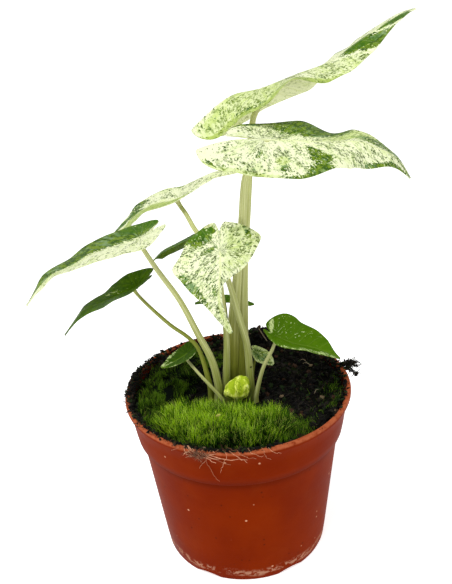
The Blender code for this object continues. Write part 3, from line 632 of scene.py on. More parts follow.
# Each leaf: which station is the joint, the relative length of the right and left lobe and the share
# of it over which they are one, how wide the lobes start, the wave of the margin (height, turns,
# start), rows and half columns of the grid, the distance between veins, the depth of the midrib
# below, and the stations. Then the patches of its mosaic. Each is its middle along the leaf (0 sinus
# to 1 tip) and across it (1 right margin to -1 left margin), its size both ways, and its strength.
LEAVES = {
    "a": (mosaic, 2, (1.0, 0.95, 0.3), 0.24, (0.0004, 2.5, 0.1), 110, 26, 5.0, 0.0009, [
        (-11.2, 15.5, 173.6, 13, -50, 14, -72), (3, 14.5, 182.7, 14, -32, 14, -58),
        (14.2, 12, 185.5, 14, -17, 14, -42), (27.4, 10, 190.2, 13, 2, 12, -42),
        (39.4, 6.5, 194.5, 12, -22, 11, 4), (45.1, 4, 198.8, 11, -33, 9.5, 4),
        (51, 2, 203, 8.5, -32, 7, 2), (61, 0, 209, 4.4, -10, 3.6, 6), (66, -1, 211, 0.2, 0, 0.2, 10)], {
        "green": [(0.835, 0.05, 0.048, 0.3, 1.5), (0.8, 0.45, 0.046, 0.35, 1.5),
                  (0.772, 0.85, 0.045, 0.26, 1.3), (0.955, 0, 0.04, 0.5, 1.6),
                  (0.915, 0.5, 0.038, 0.35, 1.6), (0.89, 0.9, 0.036, 0.3, 1.6),
                  (0.63, -0.95, 0.06, 0.12, 0.7), (0.36, 0.8, 0.05, 0.09, 0.6)],
        "lime": [(0.26, 0.95, 0.22, 0.17, 1.3), (0.5, 1, 0.14, 0.28, 1.4), (0.3, 0.4, 0.28, 0.9, 0.78),
                 (0.66, 0.5, 0.08, 0.8, 0.6)],
        "flecks": [(0.35, 0.5, 0.4, 1, 0.5)]}),
    "b": (mosaic, 2, (1.0, 0.55, 0.1), 0.28, (0.0004, 2.6, 0.3), 110, 26, 5.0, 0.0009, [
        (-8.6, -7.8, 172.8, 15, -24, 9, 26), (3, -8.5, 174, 16, -25, 10, 17),
        (14, -9, 173, 17, -30, 14, 7), (26, -10, 172, 17, -30, 16, 11),
        (38, -11, 171, 14.5, -17, 14.5, -5), (45, -12, 171, 12, -29, 12, 3),
        (51, -13, 169, 9, -40, 9, 6), (58, -14, 165, 5, -21, 5, -1), (63, -15, 158, 0.2, -10, 0.2, 0)], {
        "green": [(0.5, -0.86, 0.125, 0.58, 1.25), (0.55, -0.5, 0.055, 0.32, 0.95),
                  (0.28, -1, 0.2, 0.13, 1.1), (0.572, 0.35, 0.026, 0.2, 0.95),
                  (0.566, 0.6, 0.036, 0.22, 0.95), (0.535, 0.92, 0.036, 0.24, 1),
                  (0.5, 1, 0.07, 0.1, 0.9), (0.33, 0.4, 0.018, 0.15, 0.6),
                  (0.44, 0.76, 0.018, 0.12, 0.65), (0.16, 0.86, 0.08, 0.06, 0.7),
                  (0.79, -0.72, 0.1, 0.4, 0.72), (0.8, 0.95, 0.12, 0.14, 0.95), (0.96, 0.2, 0.05, 0.9, 0.8)],
        "lime": [(0.25, 1, 0.2, 0.12, 0.9), (0.67, -0.55, 0.07, 0.5, 0.9), (0.43, 0.55, 0.03, 0.12, 1)],
        "flecks": [(0.5, 0, 0.8, 1.6, 0.3), (0.36, -0.5, 0.12, 0.5, 1), (0.34, 0.6, 0.12, 0.4, 0.5),
                   (0.69, 0.4, 0.08, 0.6, 0.7)]}),
    "c": (mosaic, 2, (1.0, 0.5, 0.5), 0.25, (0.0002, 2.0, 0.2), 80, 20, 5.0, 0.0007, [
        (5, 6, 157, 5, 2, 3, 8), (-6, 7, 154.8, 8, 1, 5, 2), (-17, 9, 148.2, 10, 9, 8.5, 4),
        (-26, 12, 145.6, 9, 13, 8.5, 0), (-32, 14.5, 142.2, 8, 18, 8, -12),
        (-36.5, 16.5, 138.6, 7, 24, 6.5, -26), (-40, 18, 134.4, 5, 22, 4.5, -28),
        (-44, 19, 130.8, 3, 16, 3, -16), (-48, 19.5, 127.2, 0.2, 0, 0.2, 0)], {
        "green": [(0.8, 0.5, 0.05, 0.75, 1.5), (0.66, 0.8, 0.045, 0.25, 1), (0.72, 0.55, 0.03, 0.25, 0.9),
                  (0.45, 0.95, 0.04, 0.12, 0.6)],
        "lime": [(0.62, -0.6, 0.3, 0.45, 1.2)]}),
    "d": (mosaic, 1, (1.0, 1.16, 0.5), 0.52, (0.0003, 2.0, 0.6), 90, 22, 5.0, 0.0007, [
        (-24, -5, 143.4, 8, 4, 9, 6), (-31, -7, 139.7, 11, 6, 11, 0), (-40, -9, 138, 12, 0, 12, 6),
        (-49, -11, 136, 11, -2, 11, 8), (-56, -13, 133, 9, -5, 9, 12), (-63, -15, 131, 6, -7, 6, 14),
        (-68, -17, 127, 3.5, -4, 3.5, 8), (-73, -18, 121, 0.2, 0, 0.2, 0)], {
        "green": [(0.2, 0.66, 0.25, 0.5, 1.5), (0.45, 0.62, 0.6, 0.56, 1.22), (0.98, 0.3, 0.16, 0.9, 1.3)],
        "lime": [(0.75, -0.4, 0.15, 0.6, 0.6)]}),
    "e": (mosaic, 2, (1.0, 1.0, 0.75), 0.22, (0.0003, 2.2, 0.4), 90, 24, 5.0, 0.0006, [
        (-3, -8, 143, 13, -30, 15.6, -8), (-3.1, -11.5, 139, 14, -26, 15, -10),
        (-3.1, -14, 135.1, 15.4, -22, 12.6, -12), (-3.3, -16.7, 130.5, 17.8, -18, 8.4, -16),
        (-3.9, -18.7, 126.2, 16.4, -16, 2.4, -22), (-4.4, -19.8, 122.2, 11, -16, 0.9, -32),
        (-4.2, -20.8, 117.5, 5.2, -18, 0.8, -36), (-3.0, -21, 112.3, 2.6, -20, 0.7, -36),
        (-1.1, -20, 105.7, 0.2, 0, 0.2, 0)], {
        "green": [(0.145, 0.64, 0.095, 0.46, 2.4), (0.26, 0.5, 0.06, 0.32, 1), (0.41, 0.22, 0.03, 0.16, 0.85),
                  (0.21, -0.7, 0.05, 0.1, 0.75), (0.58, 0.93, 0.1, 0.12, 0.7), (0.66, 0.4, 0.05, 0.14, 0.65)],
        "lime": [(0.3, -0.6, 0.25, 0.5, 0.6), (0.9, 0, 0.15, 1, 0.8)],
        "flecks": [(0.5, 0, 0.8, 1.6, 0.55), (0.4, 0.5, 0.15, 0.5, 0.8)]}),
    "f": (plain_green, 1, (0.94, 0.84, 0.5), 0.52, (0.0003, 1.6, 0.2), 70, 18, 4.2, 0.0006, [
        (-28, -3, 124, 6, 6, 6, 16), (-35, -4, 119, 8, 22, 8, 21), (-42, -6, 117, 8.5, 8, 8.5, 16),
        (-48, -7, 115, 7, -3, 7.2, 9), (-53, -8, 113.7, 5, -8, 5.4, 7), (-57, -9, 111, 3.2, -10, 3, 5),
        (-63, -10, 104, 0.2, 0, 0.2, 0)], {
        "lime": [(0.4, -0.3, 0.4, 0.6, 0.5)], "flecks": [(0.56, 0.35, 0.05, 0.3, 0.9)]}),
    "g": (plain_green, 1, (1.0, 1.0, 0.5), 0.3, (0.0, 1.0, 0.0), 50, 14, 4.2, 0.0005, [
        (-10, 12, 133.2, 5, -42, 5, 10), (-14.5, 12, 131.4, 6.4, -46, 6, 10),
        (-20, 12, 128.8, 6.2, -46, 5.6, 10), (-25, 12, 126.4, 4.4, -52, 4, 8),
        (-28, 12, 123.8, 3.4, -50, 2, 6), (-29.6, 12, 121.9, 0.6, 0, 0.6, 0)], {}),
    "h": (plain_green, 1, (1.0, 1.0, 0.5), 0.3, (0.0, 1.0, 0.0), 50, 14, 4.2, 0.0005, [
        (8.6, 18, 98.2, 3.4, -34, 3, -4), (3, 18, 100.8, 5.6, -38, 5, -6), (-2, 18, 102.8, 6.2, -40, 6, -6),
        (-9, 17, 101.8, 4, -34, 4, 2), (-15, 16, 100.6, 0.3, 0, 0.3, 0)], {}),
    "i": (plain_green, 1, (1.0, 1.0, 0.45), 0.32, (0.0003, 1.6, 0.4), 70, 18, 4.2, 0.0006, [
        (11.5, -4, 98, 5.5, 12, 8, 44), (16, -5, 95, 8, 10, 10, 42), (22, -6, 92, 8.5, 14, 9.8, 39),
        (28, -6, 90, 7.5, 14, 8.4, 36), (34, -7, 88, 5, 16, 5.4, 26), (40, -8, 85, 0.2, 10, 0.2, 0)], {
        "lime": [(0.5, 0, 1, 2, 1)],
        "flecks": [(0.12, -0.25, 0.07, 0.5, 1.6), (0.65, 0.85, 0.25, 0.25, 1.1), (0.45, 1, 0.35, 0.2, 0.9),
                   (0.4, -0.4, 0.3, 0.5, 0.35)]}),
    "j": (mosaic, 1, (1.0, 1.0, 0.4), 0.4, (0.0003, 1.6, 0.0), 36, 12, 4.2, 0.0004, [
        (6.2, 3.8, 85.2, 2.5, 0, 2.2, 25), (8.4, 3, 83.8, 3.3, -6, 2.9, 30),
        (11.2, 1.4, 82, 3.1, -10, 2.7, 30), (13.4, 0, 80.8, 2.1, 0, 1.9, 20),
        (14.7, -0.7, 80, 0.4, 0, 0.4, 0)], {
        "green": [(0.45, 0.1, 0.42, 0.66, 0.8), (0.85, 0.2, 0.12, 0.8, 0.7)], "lime": [(0.5, 0, 1, 2, 0.9)]}),
    "k": (plain_green, 1, (1.0, 1.0, 0.4), 0.3, (0.0002, 1.6, 0.0), 40, 12, 4.2, 0.0004, [
        (-15, 0, 91, 3.5, 10, 3.5, 10), (-19, -2, 88, 4.8, 10, 4.8, 10), (-24, -4, 86, 4, 10, 4, 10),
        (-29, -6, 85, 0.3, 0, 0.3, 0)], {
        "green": [(0.3, 0, 0.6, 1.5, 1)],
        "flecks": [(0.8, 0.9, 0.3, 0.3, 1.2), (0.95, 0, 0.14, 1, 1.3), (0.5, -1, 0.4, 0.1, 1.2)]}),
}
ribs = {}
for letter, leaf in LEAVES.items():
    paints, joint, lobes, sinus, wave, rows, columns, pitch, back, stations, patches = leaf
    facing = (0.0, -0.9, 0.45) if letter == "e" else (0.0, 0.0, 1.0)
    ribs[letter] = Midrib(stations, joint, lobes, sinus, facing)
    obj = blade(letter, ribs[letter], wave, rows, columns, patches, pitch, back, paints)
    dressed(obj, "blade_" + letter, "blade_" + letter)

# Stalks.
# Smooth fleshy leaf stalks, one to a leaf, which rise from the crown, bend over and run into the midrib. They
# are finely striped along their length, greener and darker near the foot, where the darkening is partly
# painted shade, and widen there.
def stalk(letter, points, foot, middle, top, pale, paint):
    """Tube along a path from the crown to the joint of its leaf, with fine ribs along it."""
    rib = ribs[letter]
    joint, tangent, normal = rib.frame(rib.joint + 0.0014)[:3]
    cap = joint - normal * 0.00015
    bend = cap - normal * 0.0032 - tangent * 0.0004
    path = [Vector((*points[0], z)) * 0.001 for z in (66.3, 69.8)]
    guide = [path[1]] + [p for p in (Vector(q) * 0.001 for q in points[1:]) if (p - bend).length > 0.003]
    guide += [bend, cap]
    for k in range(len(guide) - 1):
        path += [through(guide, k + f) for f in (0.0, 0.2, 0.4, 0.6, 0.8) if k or f]
    path.append(cap)
    lengths = [0.0]
    for a, b in zip(path, path[1:]):
        lengths.append(lengths[-1] + (b - a).length)
    steps, around = len(path) - 1, 24
    obj = fresh("petiole_" + letter, bpy.ops.mesh.primitive_grid_add, x_subdivisions=steps,
                y_subdivisions=around, size=1.0)
    fibre, tone = [], []
    seed = ord(letter) * 1.7
    for v in obj.data.vertices:
        k, turn = round((v.co.x + 0.5) * steps), 2 * pi * (v.co.y + 0.5)
        if v.co.y > 0.4999:
            turn = 0.0
        along = (path[min(k + 1, steps)] - path[max(k - 1, 0)]).normalized()
        back = (Vector((0, 1, 0)) - along * along.y).normalized()
        right = along.cross(back)
        h = (path[k].z - path[0].z) / (cap.z - path[0].z)
        radius = foot + (middle - foot) * h * 2 if h < 0.5 else middle + (top - middle) * (h - 0.5) * 2
        radius *= 1 + 0.16 * exp(-(path[k].z - path[0].z) / 0.01)
        ridges = 1 + 0.008 * cos(9 * turn + seed) + 0.006 * cos(14 * turn + 3 * seed)
        ridges += 0.05 * noise.noise(Vector((cos(turn), sin(turn), lengths[k] * 40 + seed)))
        flare = 1.0 + 0.25 * eased(1 - (lengths[-1] - lengths[k]) / 0.0035)
        v.co = path[k] + (back * cos(turn) + right * sin(turn)) * (radius * 0.001 * ridges * flare)
        fibre.append((cos(turn), sin(turn), lengths[k] * 1000))
        tone.append((pale, lengths[k] / lengths[-1], seed))
    mark(obj.data, "fibre", fibre)
    mark(obj.data, "tone", tone)
    bm = bmesh.new()
    bm.from_mesh(obj.data)
    bmesh.ops.remove_doubles(bm, verts=bm.verts, dist=0.000002)
    bmesh.ops.holes_fill(bm, edges=[e for e in bm.edges if e.is_boundary], sides=0)
    bmesh.ops.recalc_face_normals(bm, faces=bm.faces)
    bm.to_mesh(obj.data)
    bm.free()
    obj.data.materials.append(paint)
    smooth_shade(obj, 60)
    return obj


def striped_stalk():
    """Olive green stripes with freckles, an older sheath low down, and one dark scar in front."""
    p = Paint("striped_stalk", Specular_IOR_Level=0.05)
    fibre = p.mark("fibre")
    pale, up, _ = p.split(p.mark("tone"))
    stripes = p.cloud(p.stretch(fibre, (3.2, 3.2, 0.05)), 1.0, 3.0, 0.6)
    broad = p.cloud(p.stretch(fibre, (1.1, 1.1, 0.03)), 1.0)
    freckles = p.cloud(p.stretch(fibre, (4.0, 4.0, 1.1)), 1.0)
    striped = p.rise(stripes, 0.32, 0.68)
    height = p.split(p.place())[2]
    old = (1.0 - p.rise(height + broad * 0.03, 0.094, 0.142)) * p.rise(pale, 0.55, 0.9)
    scar = p.node("VectorMath", {"operation": "DISTANCE"}, {0: p.place(), 1: SCAR}, out="Value")
    colour = p.coats(
        p.mix((0.19, 0.225, 0.026), (0.29, 0.32, 0.058), striped),
        (p.mix((0.43, 0.45, 0.16), (0.6, 0.62, 0.31), striped),
         p.rise(pale + (broad - 0.5) * 1.1 + up * 0.55, 0.3, 1.05)),
        ((0.15, 0.16, 0.035), p.rise(freckles, 0.68, 0.74) * 0.45),
        (p.mix((0.165, 0.18, 0.008), (0.3, 0.305, 0.024), p.rise(stripes, 0.35, 0.65)), old * 0.9),
        # Greener and darker near the foot; the darkening is partly painted shade.
        ((0.19, 0.23, 0.03), (1.0 - p.rise(up, 0.0, 0.26)) * 0.55),
        ((0.012, 0.01, 0.004), (1.0 - p.rise(scar, 0.00035, 0.00065)) * 0.9))
    return p.finish(colour, p.rise(stripes, 0.3, 0.7, 0.36, 0.5), stripes, 0.00012)


# Each stalk: points in millimetres from the crown up, the radius in millimetres at the foot, half way and at
# the top, and how pale it is. Stalks a and b are partly made paler as painted light, against the shade they
# stand in behind c and e. The scar is on stalk c.
SCAR = (0.00555, -0.0069, 0.0832)
STALKS = {
    "a": ([(2.0, 0.0), (2.0, 0.2, 74), (2.6, 0.6, 91), (4.7, 1.2, 117), (7.0, 2.4, 138),
           (9.2, 5.6, 157.5), (10.4, 8.4, 167), (12.0, 10.6, 176)], 3.6, 1.6, 1.0, 1.05),
    "b": ([(-1.9, -0.3), (-1.9, -0.6, 75), (-0.7, -1.6, 93), (2.3, -2.2, 118), (5.2, -3.2, 140),
           (7.8, -6.0, 160.5)], 3.5, 1.6, 1.0, 0.95),
    "c": ([(5.0, -5.2), (5.1, -5.8, 77), (4.6, -5.7, 92.5), (2.4, -5.6, 103.5), (-1.0, -5.0, 120),
           (-5.6, -3.5, 131.5), (-11.4, 1.0, 137.5), (-14.8, 5.0, 143)], 1.6, 1.2, 0.8, 0.6),
    "d": ([(-7.8, -7.2), (-7.4, -7.6, 76), (-9.2, -8.0, 88), (-13.6, -8.0, 99.6), (-19.2, -7.8, 114),
           (-26.4, -7.4, 126.8)], 1.6, 1.2, 0.8, 0.6),
    "e": ([(-4.6, -5.0), (-4.3, -5.6, 76), (-3.0, -7.0, 95.5), (-3.4, -9.0, 109.6), (-3.6, -10.0, 120),
           (-3.5, -10.0, 129.0)], 1.6, 1.1, 0.7, 0.5),
    "f": ([(-10.6, -5.2), (-10.8, -6.2, 76), (-13.6, -5.4, 90.5), (-17.5, -5.4, 97), (-23.9, -5.0, 102.7),
           (-30.8, -5.0, 110.8), (-34.2, -4.0, 115.0)], 1.2, 0.8, 0.6, 0.05),
    "g": ([(-4.6, 3.2), (-4.4, 3.2, 73), (-3.0, 3.2, 90), (-3.1, 3.5, 107), (-6.6, 8.0, 122),
           (-11.0, 11.0, 127)], 1.1, 0.8, 0.6, 0.0),
    "h": ([(0.3, 4.2), (0.3, 4.8, 72), (0.8, 9.0, 86.7), (2.0, 15.6, 95)], 0.9, 0.7, 0.5, 0.0),
    "i": ([(6.9, -8.4), (7.2, -8.4, 72), (10.2, -7.4, 82.4), (13.9, -6.0, 89)], 1.0, 0.75, 0.6, 0.55),
    "j": ([(5.8, -0.8), (6.0, -0.4, 74), (7.0, 1.6, 79)], 0.6, 0.5, 0.4, 0.0),
    "k": ([(-6.0, -10.2), (-7.0, -10.6, 73), (-14.2, -7.6, 81.5), (-18.0, -4.0, 84.0)], 0.7, 0.6, 0.5, 0.55),
}
stalk_green = striped_stalk()
for letter, (points, foot, middle, top, paleness_and_light) in STALKS.items():
    petiole = stalk(letter, points, foot, middle, top, paleness_and_light, stalk_green)
    dressed(petiole, "stalk", "stalk_" + letter)

# Crown.
# The short stem under the stalks, a brown ringed corm, sunk in the soil up to its top.
crown = spun("crown", [(0.0, 0.0561), (0.007, 0.0563), (0.0103, 0.059), (0.0112, 0.0625), (0.0113, 0.066),
                       (0.0108, 0.0672), (0.0094, 0.0677), (0.007, 0.0676), (0.0045, 0.0679),
                       (0.002, 0.0676), (0.0, 0.0677)], 64)
for v in crown.data.vertices:
    rough = noise.noise(v.co * 300) * 0.0004
    swell = 1 + rough * 30
    v.co = Vector((v.co.x * swell + CROWN[0], v.co.y * swell + CROWN[1], v.co.z + rough * 0.6))
smooth_shade(crown, 50)
skin = Paint("corm_skin", Specular_IOR_Level=0.3)
scales = skin.cloud(skin.place((1.0, 1.0, 4.0)), 260.0, 4.0, 0.6)
crown.data.materials.append(skin.finish(
    skin.mix((0.02, 0.014, 0.006), (0.085, 0.075, 0.02), skin.rise(scales, 0.35, 0.7)),
    skin.rise(scales, 0.2, 0.8, 0.5, 0.85), scales, 0.0006))
dressed(crown, "corm", "corm")

# Young leaf.
# A small leaf just breaking out at the foot of the stalks, still crumpled and a bright yellow-green.
bud = fresh("young_leaf_bud", bpy.ops.mesh.primitive_uv_sphere_add, segments=64, ring_count=44, radius=1.0)
fold_light_values = []
for v in bud.data.vertices:
    x, y, z = v.co
    slim = 0.45 + 0.55 * eased((z + 1.0) / 0.75)
    fold = noise.ridged_multi_fractal(Vector((x * 1.6, y * 1.6, z * 0.9)), 1.0, 2.1, 3, 1.0, 2.0,
                                      noise_basis="PERLIN_ORIGINAL")
    wave = sin(x * 9 + 2.2 * noise.noise(Vector((x, y, z)) * 1.7)) * 0.5 + 0.5
    dent = (fold - 1.0) * 0.17 - wave * 0.08
    r = 1 + dent
    # Bulges are marked to be painted lighter and folds darker, as painted light and shade.
    fold_light_values.append((min(1.0, max(0.0, 0.5 + dent * 2.5)), 0.0, 0.0))
    v.co = Vector((x * slim * r * 0.0054 + 0.0002 + 0.001 * z,
                   y * slim * r * 0.0029 - 0.0098 - 0.0005 * z,
                   0.0752 + z * 0.0062 * (1 + 0.3 * dent) + 0.0011 * x * max(0.0, z)))
mark(bud.data, "fold_light", fold_light_values)
smooth_shade(bud, 70)


def young_lime():
    """Bright yellow-green with paler mottles, painted lighter on the ridges and darker in the folds, and dark
    lines of painted shade along the folds.
    """
    p = Paint("young_leaf_lime", Specular_IOR_Level=0.12)
    fold_light = p.split(p.mark("fold_light"))[0]
    mottle = p.cloud(p.place((1.0, 1.0, 0.4), (0.0, 0.6, 0.0)), 720.0, 4.0, 0.65)
    fold_shade_lines = p.cloud(p.place((1.0, 1.0, 0.4), (0.0, 0.5, 0.0)), 520.0, 2.0, 0.5, 0.8)
    fold_shade_lines = p.node("Math", {"operation": "ABSOLUTE"}, {0: fold_shade_lines - 0.5})
    colour = p.coats(
        (0.4, 0.54, 0.016),
        # Painted light and shade: lighter on the ridges, darker in the folds and along the fold lines.
        ((0.84, 0.93, 0.15), p.rise(fold_light + (mottle - 0.5) * 1.6, 0.25, 0.66)),
        ((0.76, 0.84, 0.32), p.rise(mottle + (fold_light - 0.5) * 0.5, 0.56, 0.66) * 0.8),
        ((0.13, 0.24, 0.006), (1.0 - p.rise(fold_shade_lines, 0.006, 0.032)) * 0.8))
    return p.finish(colour, p.rise(mottle, 0.3, 0.7, 0.4, 0.55), mottle, 0.0003)


bud.data.materials.append(young_lime())
dressed(bud, "young_leaf", "young_leaf")

# Moss.
# A dense tuft of grass-like moss in front of the crown, with low dark moss round it and along the
# left side of the pot. Each blade is a bent three-sided spike rooted in a mound.
def moss_blade():
    """Points of one upright blade of height 1 and half width 1, bent later, and its faces."""
    obj = fresh("moss_blade", bpy.ops.mesh.primitive_cone_add, (0.0, 0.0, 0.5), vertices=3, radius1=1.0,
                radius2=0.0, depth=1.0, end_fill_type="NOTHING")
    bpy.ops.object.transform_apply(location=True, rotation=True, scale=True)
    bpy.ops.object.mode_set(mode="EDIT")
    for height in (0.35, 0.68):
        bpy.ops.mesh.select_all(action="SELECT")
        bpy.ops.mesh.bisect(plane_co=(0.0, 0.0, height), plane_no=(0.0, 0.0, 1.0))
    bpy.ops.object.mode_set(mode="OBJECT")
    return taken(obj)


def taken(obj):
    """Points and faces of an object, which is thrown away."""
    points = np.array([tuple(v.co) for v in obj.data.vertices])
    faces = [list(p.vertices) for p in obj.data.polygons]
    bpy.data.objects.remove(obj, do_unlink=True)
    return points, faces


def meshed(name, points, faces, label, values, material):
    """Mesh of points and faces, with a vector on each point under a label."""
    mesh = bpy.data.meshes.new(name)
    mesh.from_pydata(points, [], faces)
    mark(mesh, label, values)
    mesh.materials.append(material)
    return mesh


blade_points, blade_faces = moss_blade()
blade_up = blade_points[:, 2]


def thicket(obj, roots, seed, low, high, width, lean, clump, glow=(), uneven=0.5):
    """Add blades at the roots to a mound, each leaning with its neighbours and a little on its own.

    Each glow is a place, a radius and how much painted light (above 0) or painted shade (below 0) the moss
    gets there.
    """
    rng = np.random.default_rng(seed)
    points = [np.array([tuple(v.co) for v in obj.data.vertices])]
    faces = [list(p.vertices) for p in obj.data.polygons]
    info = [np.tile((0.0, 0.5, 0.0), (len(points[0]), 1))]
    base = len(points[0])
    for root, outward in roots:
        spot = root * clump + Vector((seed, 0.0, 0.0))
        drift = Vector([noise.noise(spot + Vector((7.3, 2.9, 4.1)) * k) for k in range(3)])
        height = rng.uniform(low, high) * (1 + uneven * noise.noise(root * 190))
        lit = drift.z * 0.5 + 0.5
        for x, y, radius, change in glow:
            lit += change * exp(-((root.x - x) ** 2 + (root.y - y) ** 2) / radius ** 2)
        sway = np.array((drift * 0.9 + outward).xy) * lean + rng.normal(0, 0.21, 2)
        turn = rng.uniform(0, 2 * pi)
        c, s = cos(turn), sin(turn)
        across = width * rng.uniform(0.75, 1.2)
        bent = blade_up ** 1.7 * height
        points.append(np.stack([
            root.x + (blade_points[:, 0] * c - blade_points[:, 1] * s) * across + sway[0] * bent,
            root.y + (blade_points[:, 0] * s + blade_points[:, 1] * c) * across + sway[1] * bent,
            root.z + blade_up * height * (1 - 0.22 * min(1.0, hypot(*sway))) - 0.0004], axis=1))
        tone = rng.uniform()
        info.append([(up, tone, lit) for up in blade_up])
        faces += [[i + base for i in face] for face in blade_faces]
        base += len(blade_up)
    obj.data = meshed(obj.name + "_blades", np.concatenate(points).tolist(), faces, "moss",
                      np.concatenate(info), obj.data.materials[0])
    smooth_shade(obj, 180)


def moss_paint(name, root, stem, tip, dead, glint_colour):
    """Moss from its dark root to its bright tip; some blades are dead, and some carry a painted glint near
    the tip.
    """
    p = Paint(name, Specular_IOR_Level=0.05)
    # The third value is the painted light or shade that the thicket gives each blade.
    up, tone, drift = p.split(p.mark("moss"))
    patch = p.cloud(p.place(), 130.0, 2.0)
    lit = (tone - 0.5) * 1.6 + (patch - 0.5) * 0.6 + (drift - 0.5) * 1.45
    # Painted highlight: a few blades get a bright glint in their upper half.
    painted_glint = p.rise(tone, 0.84, 0.86) * (1.0 - p.rise(tone, 0.93, 0.94)) * p.rise(up, 0.45, 0.9)
    colour = p.coats(root, (stem, p.rise(up + lit * 0.5, 0.1, 0.62)), (tip, p.rise(up + lit, 0.45, 1.05)),
                     (dead, p.rise(tone, 0.955, 0.965) * 0.8), (glint_colour, painted_glint))
    return p.finish(colour, p.rise(patch, 0.3, 0.7, 0.6, 0.8))


# The moss is rooted a little under the soil. Below are the heights of its three mounds.
MOSS_FOOT = SOIL_TOP - 0.0004
TUFT_RISE, CARPET_RISE, SKIRT_RISE = 0.0026, 0.0016, 0.0012


def mound(name, place, columns, rows, height, material):
    """Low closed mound whose outline is the edge of a disc that place() bends to shape."""
    obj = fresh(name, bpy.ops.mesh.primitive_grid_add, x_subdivisions=columns, y_subdivisions=rows, size=2.0)
    for v in obj.data.vertices:
        a, b = v.co.x * sqrt(1 - v.co.y ** 2 / 2), v.co.y * sqrt(1 - v.co.x ** 2 / 2)
        x, y = place(a, b)
        v.co = Vector((x, y, MOSS_FOOT + height * sqrt(max(0.0, 1 - a * a - b * b))
                       + 0.0004 * bumps(x, y, 0.0, 400)))
    bpy.ops.object.mode_set(mode="EDIT")
    bpy.ops.mesh.select_all(action="SELECT")
    bpy.ops.mesh.region_to_loop()
    bpy.ops.mesh.extrude_region_move(TRANSFORM_OT_translate={"value": (0.0, 0.0, -0.0006)})
    bpy.ops.mesh.edge_face_add()
    bpy.ops.mesh.select_all(action="SELECT")
    bpy.ops.mesh.normals_make_consistent(inside=False)
    bpy.ops.object.mode_set(mode="OBJECT")
    obj.data.materials.append(material)
    return obj


def rooted(count, place, height, outward, layer=0.0, bare=-1.0):
    """Roots on a mound, each a point and the way its blade leans; noise under bare leaves gaps."""
    roots = []
    while len(roots) < count:
        a, b = rng.uniform(-1, 1), rng.uniform(-1, 1)
        x, y = place(a, b)
        if hypot(a, b) < 1 and bumps(x, y, layer, 240) > bare:
            z = MOSS_FOOT + height * sqrt(1 - a * a - b * b)
            roots.append((Vector((x, y, z)), Vector(outward(a, b))))
    return roots


def tuft_place(a, b):
    """Place in the kidney shaped tuft for a and b in a disc of radius 1."""
    return -0.0062 + 0.0255 * a, -0.0252 + 0.0125 * b - 0.004 * a + 0.0032 * a * a


def carpet_place(a, b):
    """Place in the band of low moss along the back left of the pot."""
    return polar(0.0285 + 0.0128 * b, radians(149 - 51 * a))


def skirt_place(a, b):
    """Place in the ring of middling moss between the tuft and the left and front of the rim."""
    return polar(0.0352 + 0.0068 * b, radians(236 + 70 * a))


rng = random.Random(4)
tuft_moss = moss_paint("tuft_moss", (0.002, 0.007, 0.001), (0.052, 0.165, 0.002), (0.42, 0.69, 0.02),
                       (0.46, 0.48, 0.11), (0.7, 0.88, 0.16))
tuft = mound("moss_tuft_blades", tuft_place, 40, 20, TUFT_RISE, tuft_moss)
roots = rooted(7600, tuft_place, TUFT_RISE,
               lambda a, b: (a * 0.45 * hypot(a, b), b * 0.315 * hypot(a, b), 0.0))
# The glows darken the tuft at its front and near the crown as painted shade.
thicket(tuft, roots, 3, 0.0032, 0.0069, 0.00016, 0.55, 190.0,
        ((-0.006, -0.038, 0.007, -0.6), (0.013, -0.033, 0.007, -0.5), (0.019, -0.026, 0.005, -0.4),
         (-0.004, -0.014, 0.008, -0.25)))
dressed(tuft, "moss_tuft", "moss_tuft")

dark_moss = moss_paint("dark_moss", (0.001, 0.003, 0.001), (0.015, 0.044, 0.003), (0.12, 0.245, 0.012),
                       (0.1, 0.08, 0.03), (0.3, 0.4, 0.06))
carpet = mound("moss_carpet_blades", carpet_place, 44, 20, CARPET_RISE, dark_moss)
roots = rooted(5200, carpet_place, CARPET_RISE, lambda a, b: (0.0, 0.0, 0.0), 0.02, -0.12)
# The glows paint patches of light and shade on the carpet.
thicket(carpet, roots, 5, 0.001, 0.0034, 0.00015, 1.2, 230.0,
        ((-0.007, 0.03, 0.009, 1.4), (-0.033, 0.001, 0.004, 0.6), (-0.034, 0.014, 0.003, 0.5),
         (-0.026, 0.03, 0.008, -0.2), (-0.016, 0.012, 0.006, -0.4), (-0.04, 0.008, 0.004, -0.4)), 0.95)
dressed(carpet, "moss_carpet", "moss_carpet")

middle_moss = moss_paint("middle_moss", (0.003, 0.008, 0.001), (0.034, 0.095, 0.004), (0.15, 0.29, 0.012),
                         (0.16, 0.12, 0.04), (0.32, 0.44, 0.07))
skirt = mound("moss_skirt", skirt_place, 50, 10, SKIRT_RISE, middle_moss)
roots = rooted(4600, skirt_place, SKIRT_RISE, lambda a, b: (a * 0.2, b * 0.3, 0.0), 0.05, -0.16)
# It spreads past the mound to the right, along the rim and beside the crown.
for k in range(1900):
    turn, r = radians(rng.gauss(-14, 9)), rng.gauss(0.0375, 0.0026)
    x, y = polar(r, turn)
    if k > 700:
        x, y = rng.gauss(0.02, 0.0036), rng.gauss(-0.027, 0.0042)
    if hypot(x, y) < 0.0415:
        roots.append((Vector((x, y, ground(x, y) - 0.0002)), Vector((0.0, 0.0, 0.0))))
# The glows darken the skirt at its front and at both sides as painted shade.
thicket(skirt, roots, 8, 0.0013, 0.0036, 0.00014, 1.0, 170.0,
        ((-0.005, -0.04, 0.012, -0.6), (0.037, -0.009, 0.01, -0.5), (-0.038, -0.01, 0.006, -0.4)), 0.8)
dressed(skirt, "moss_tuft")

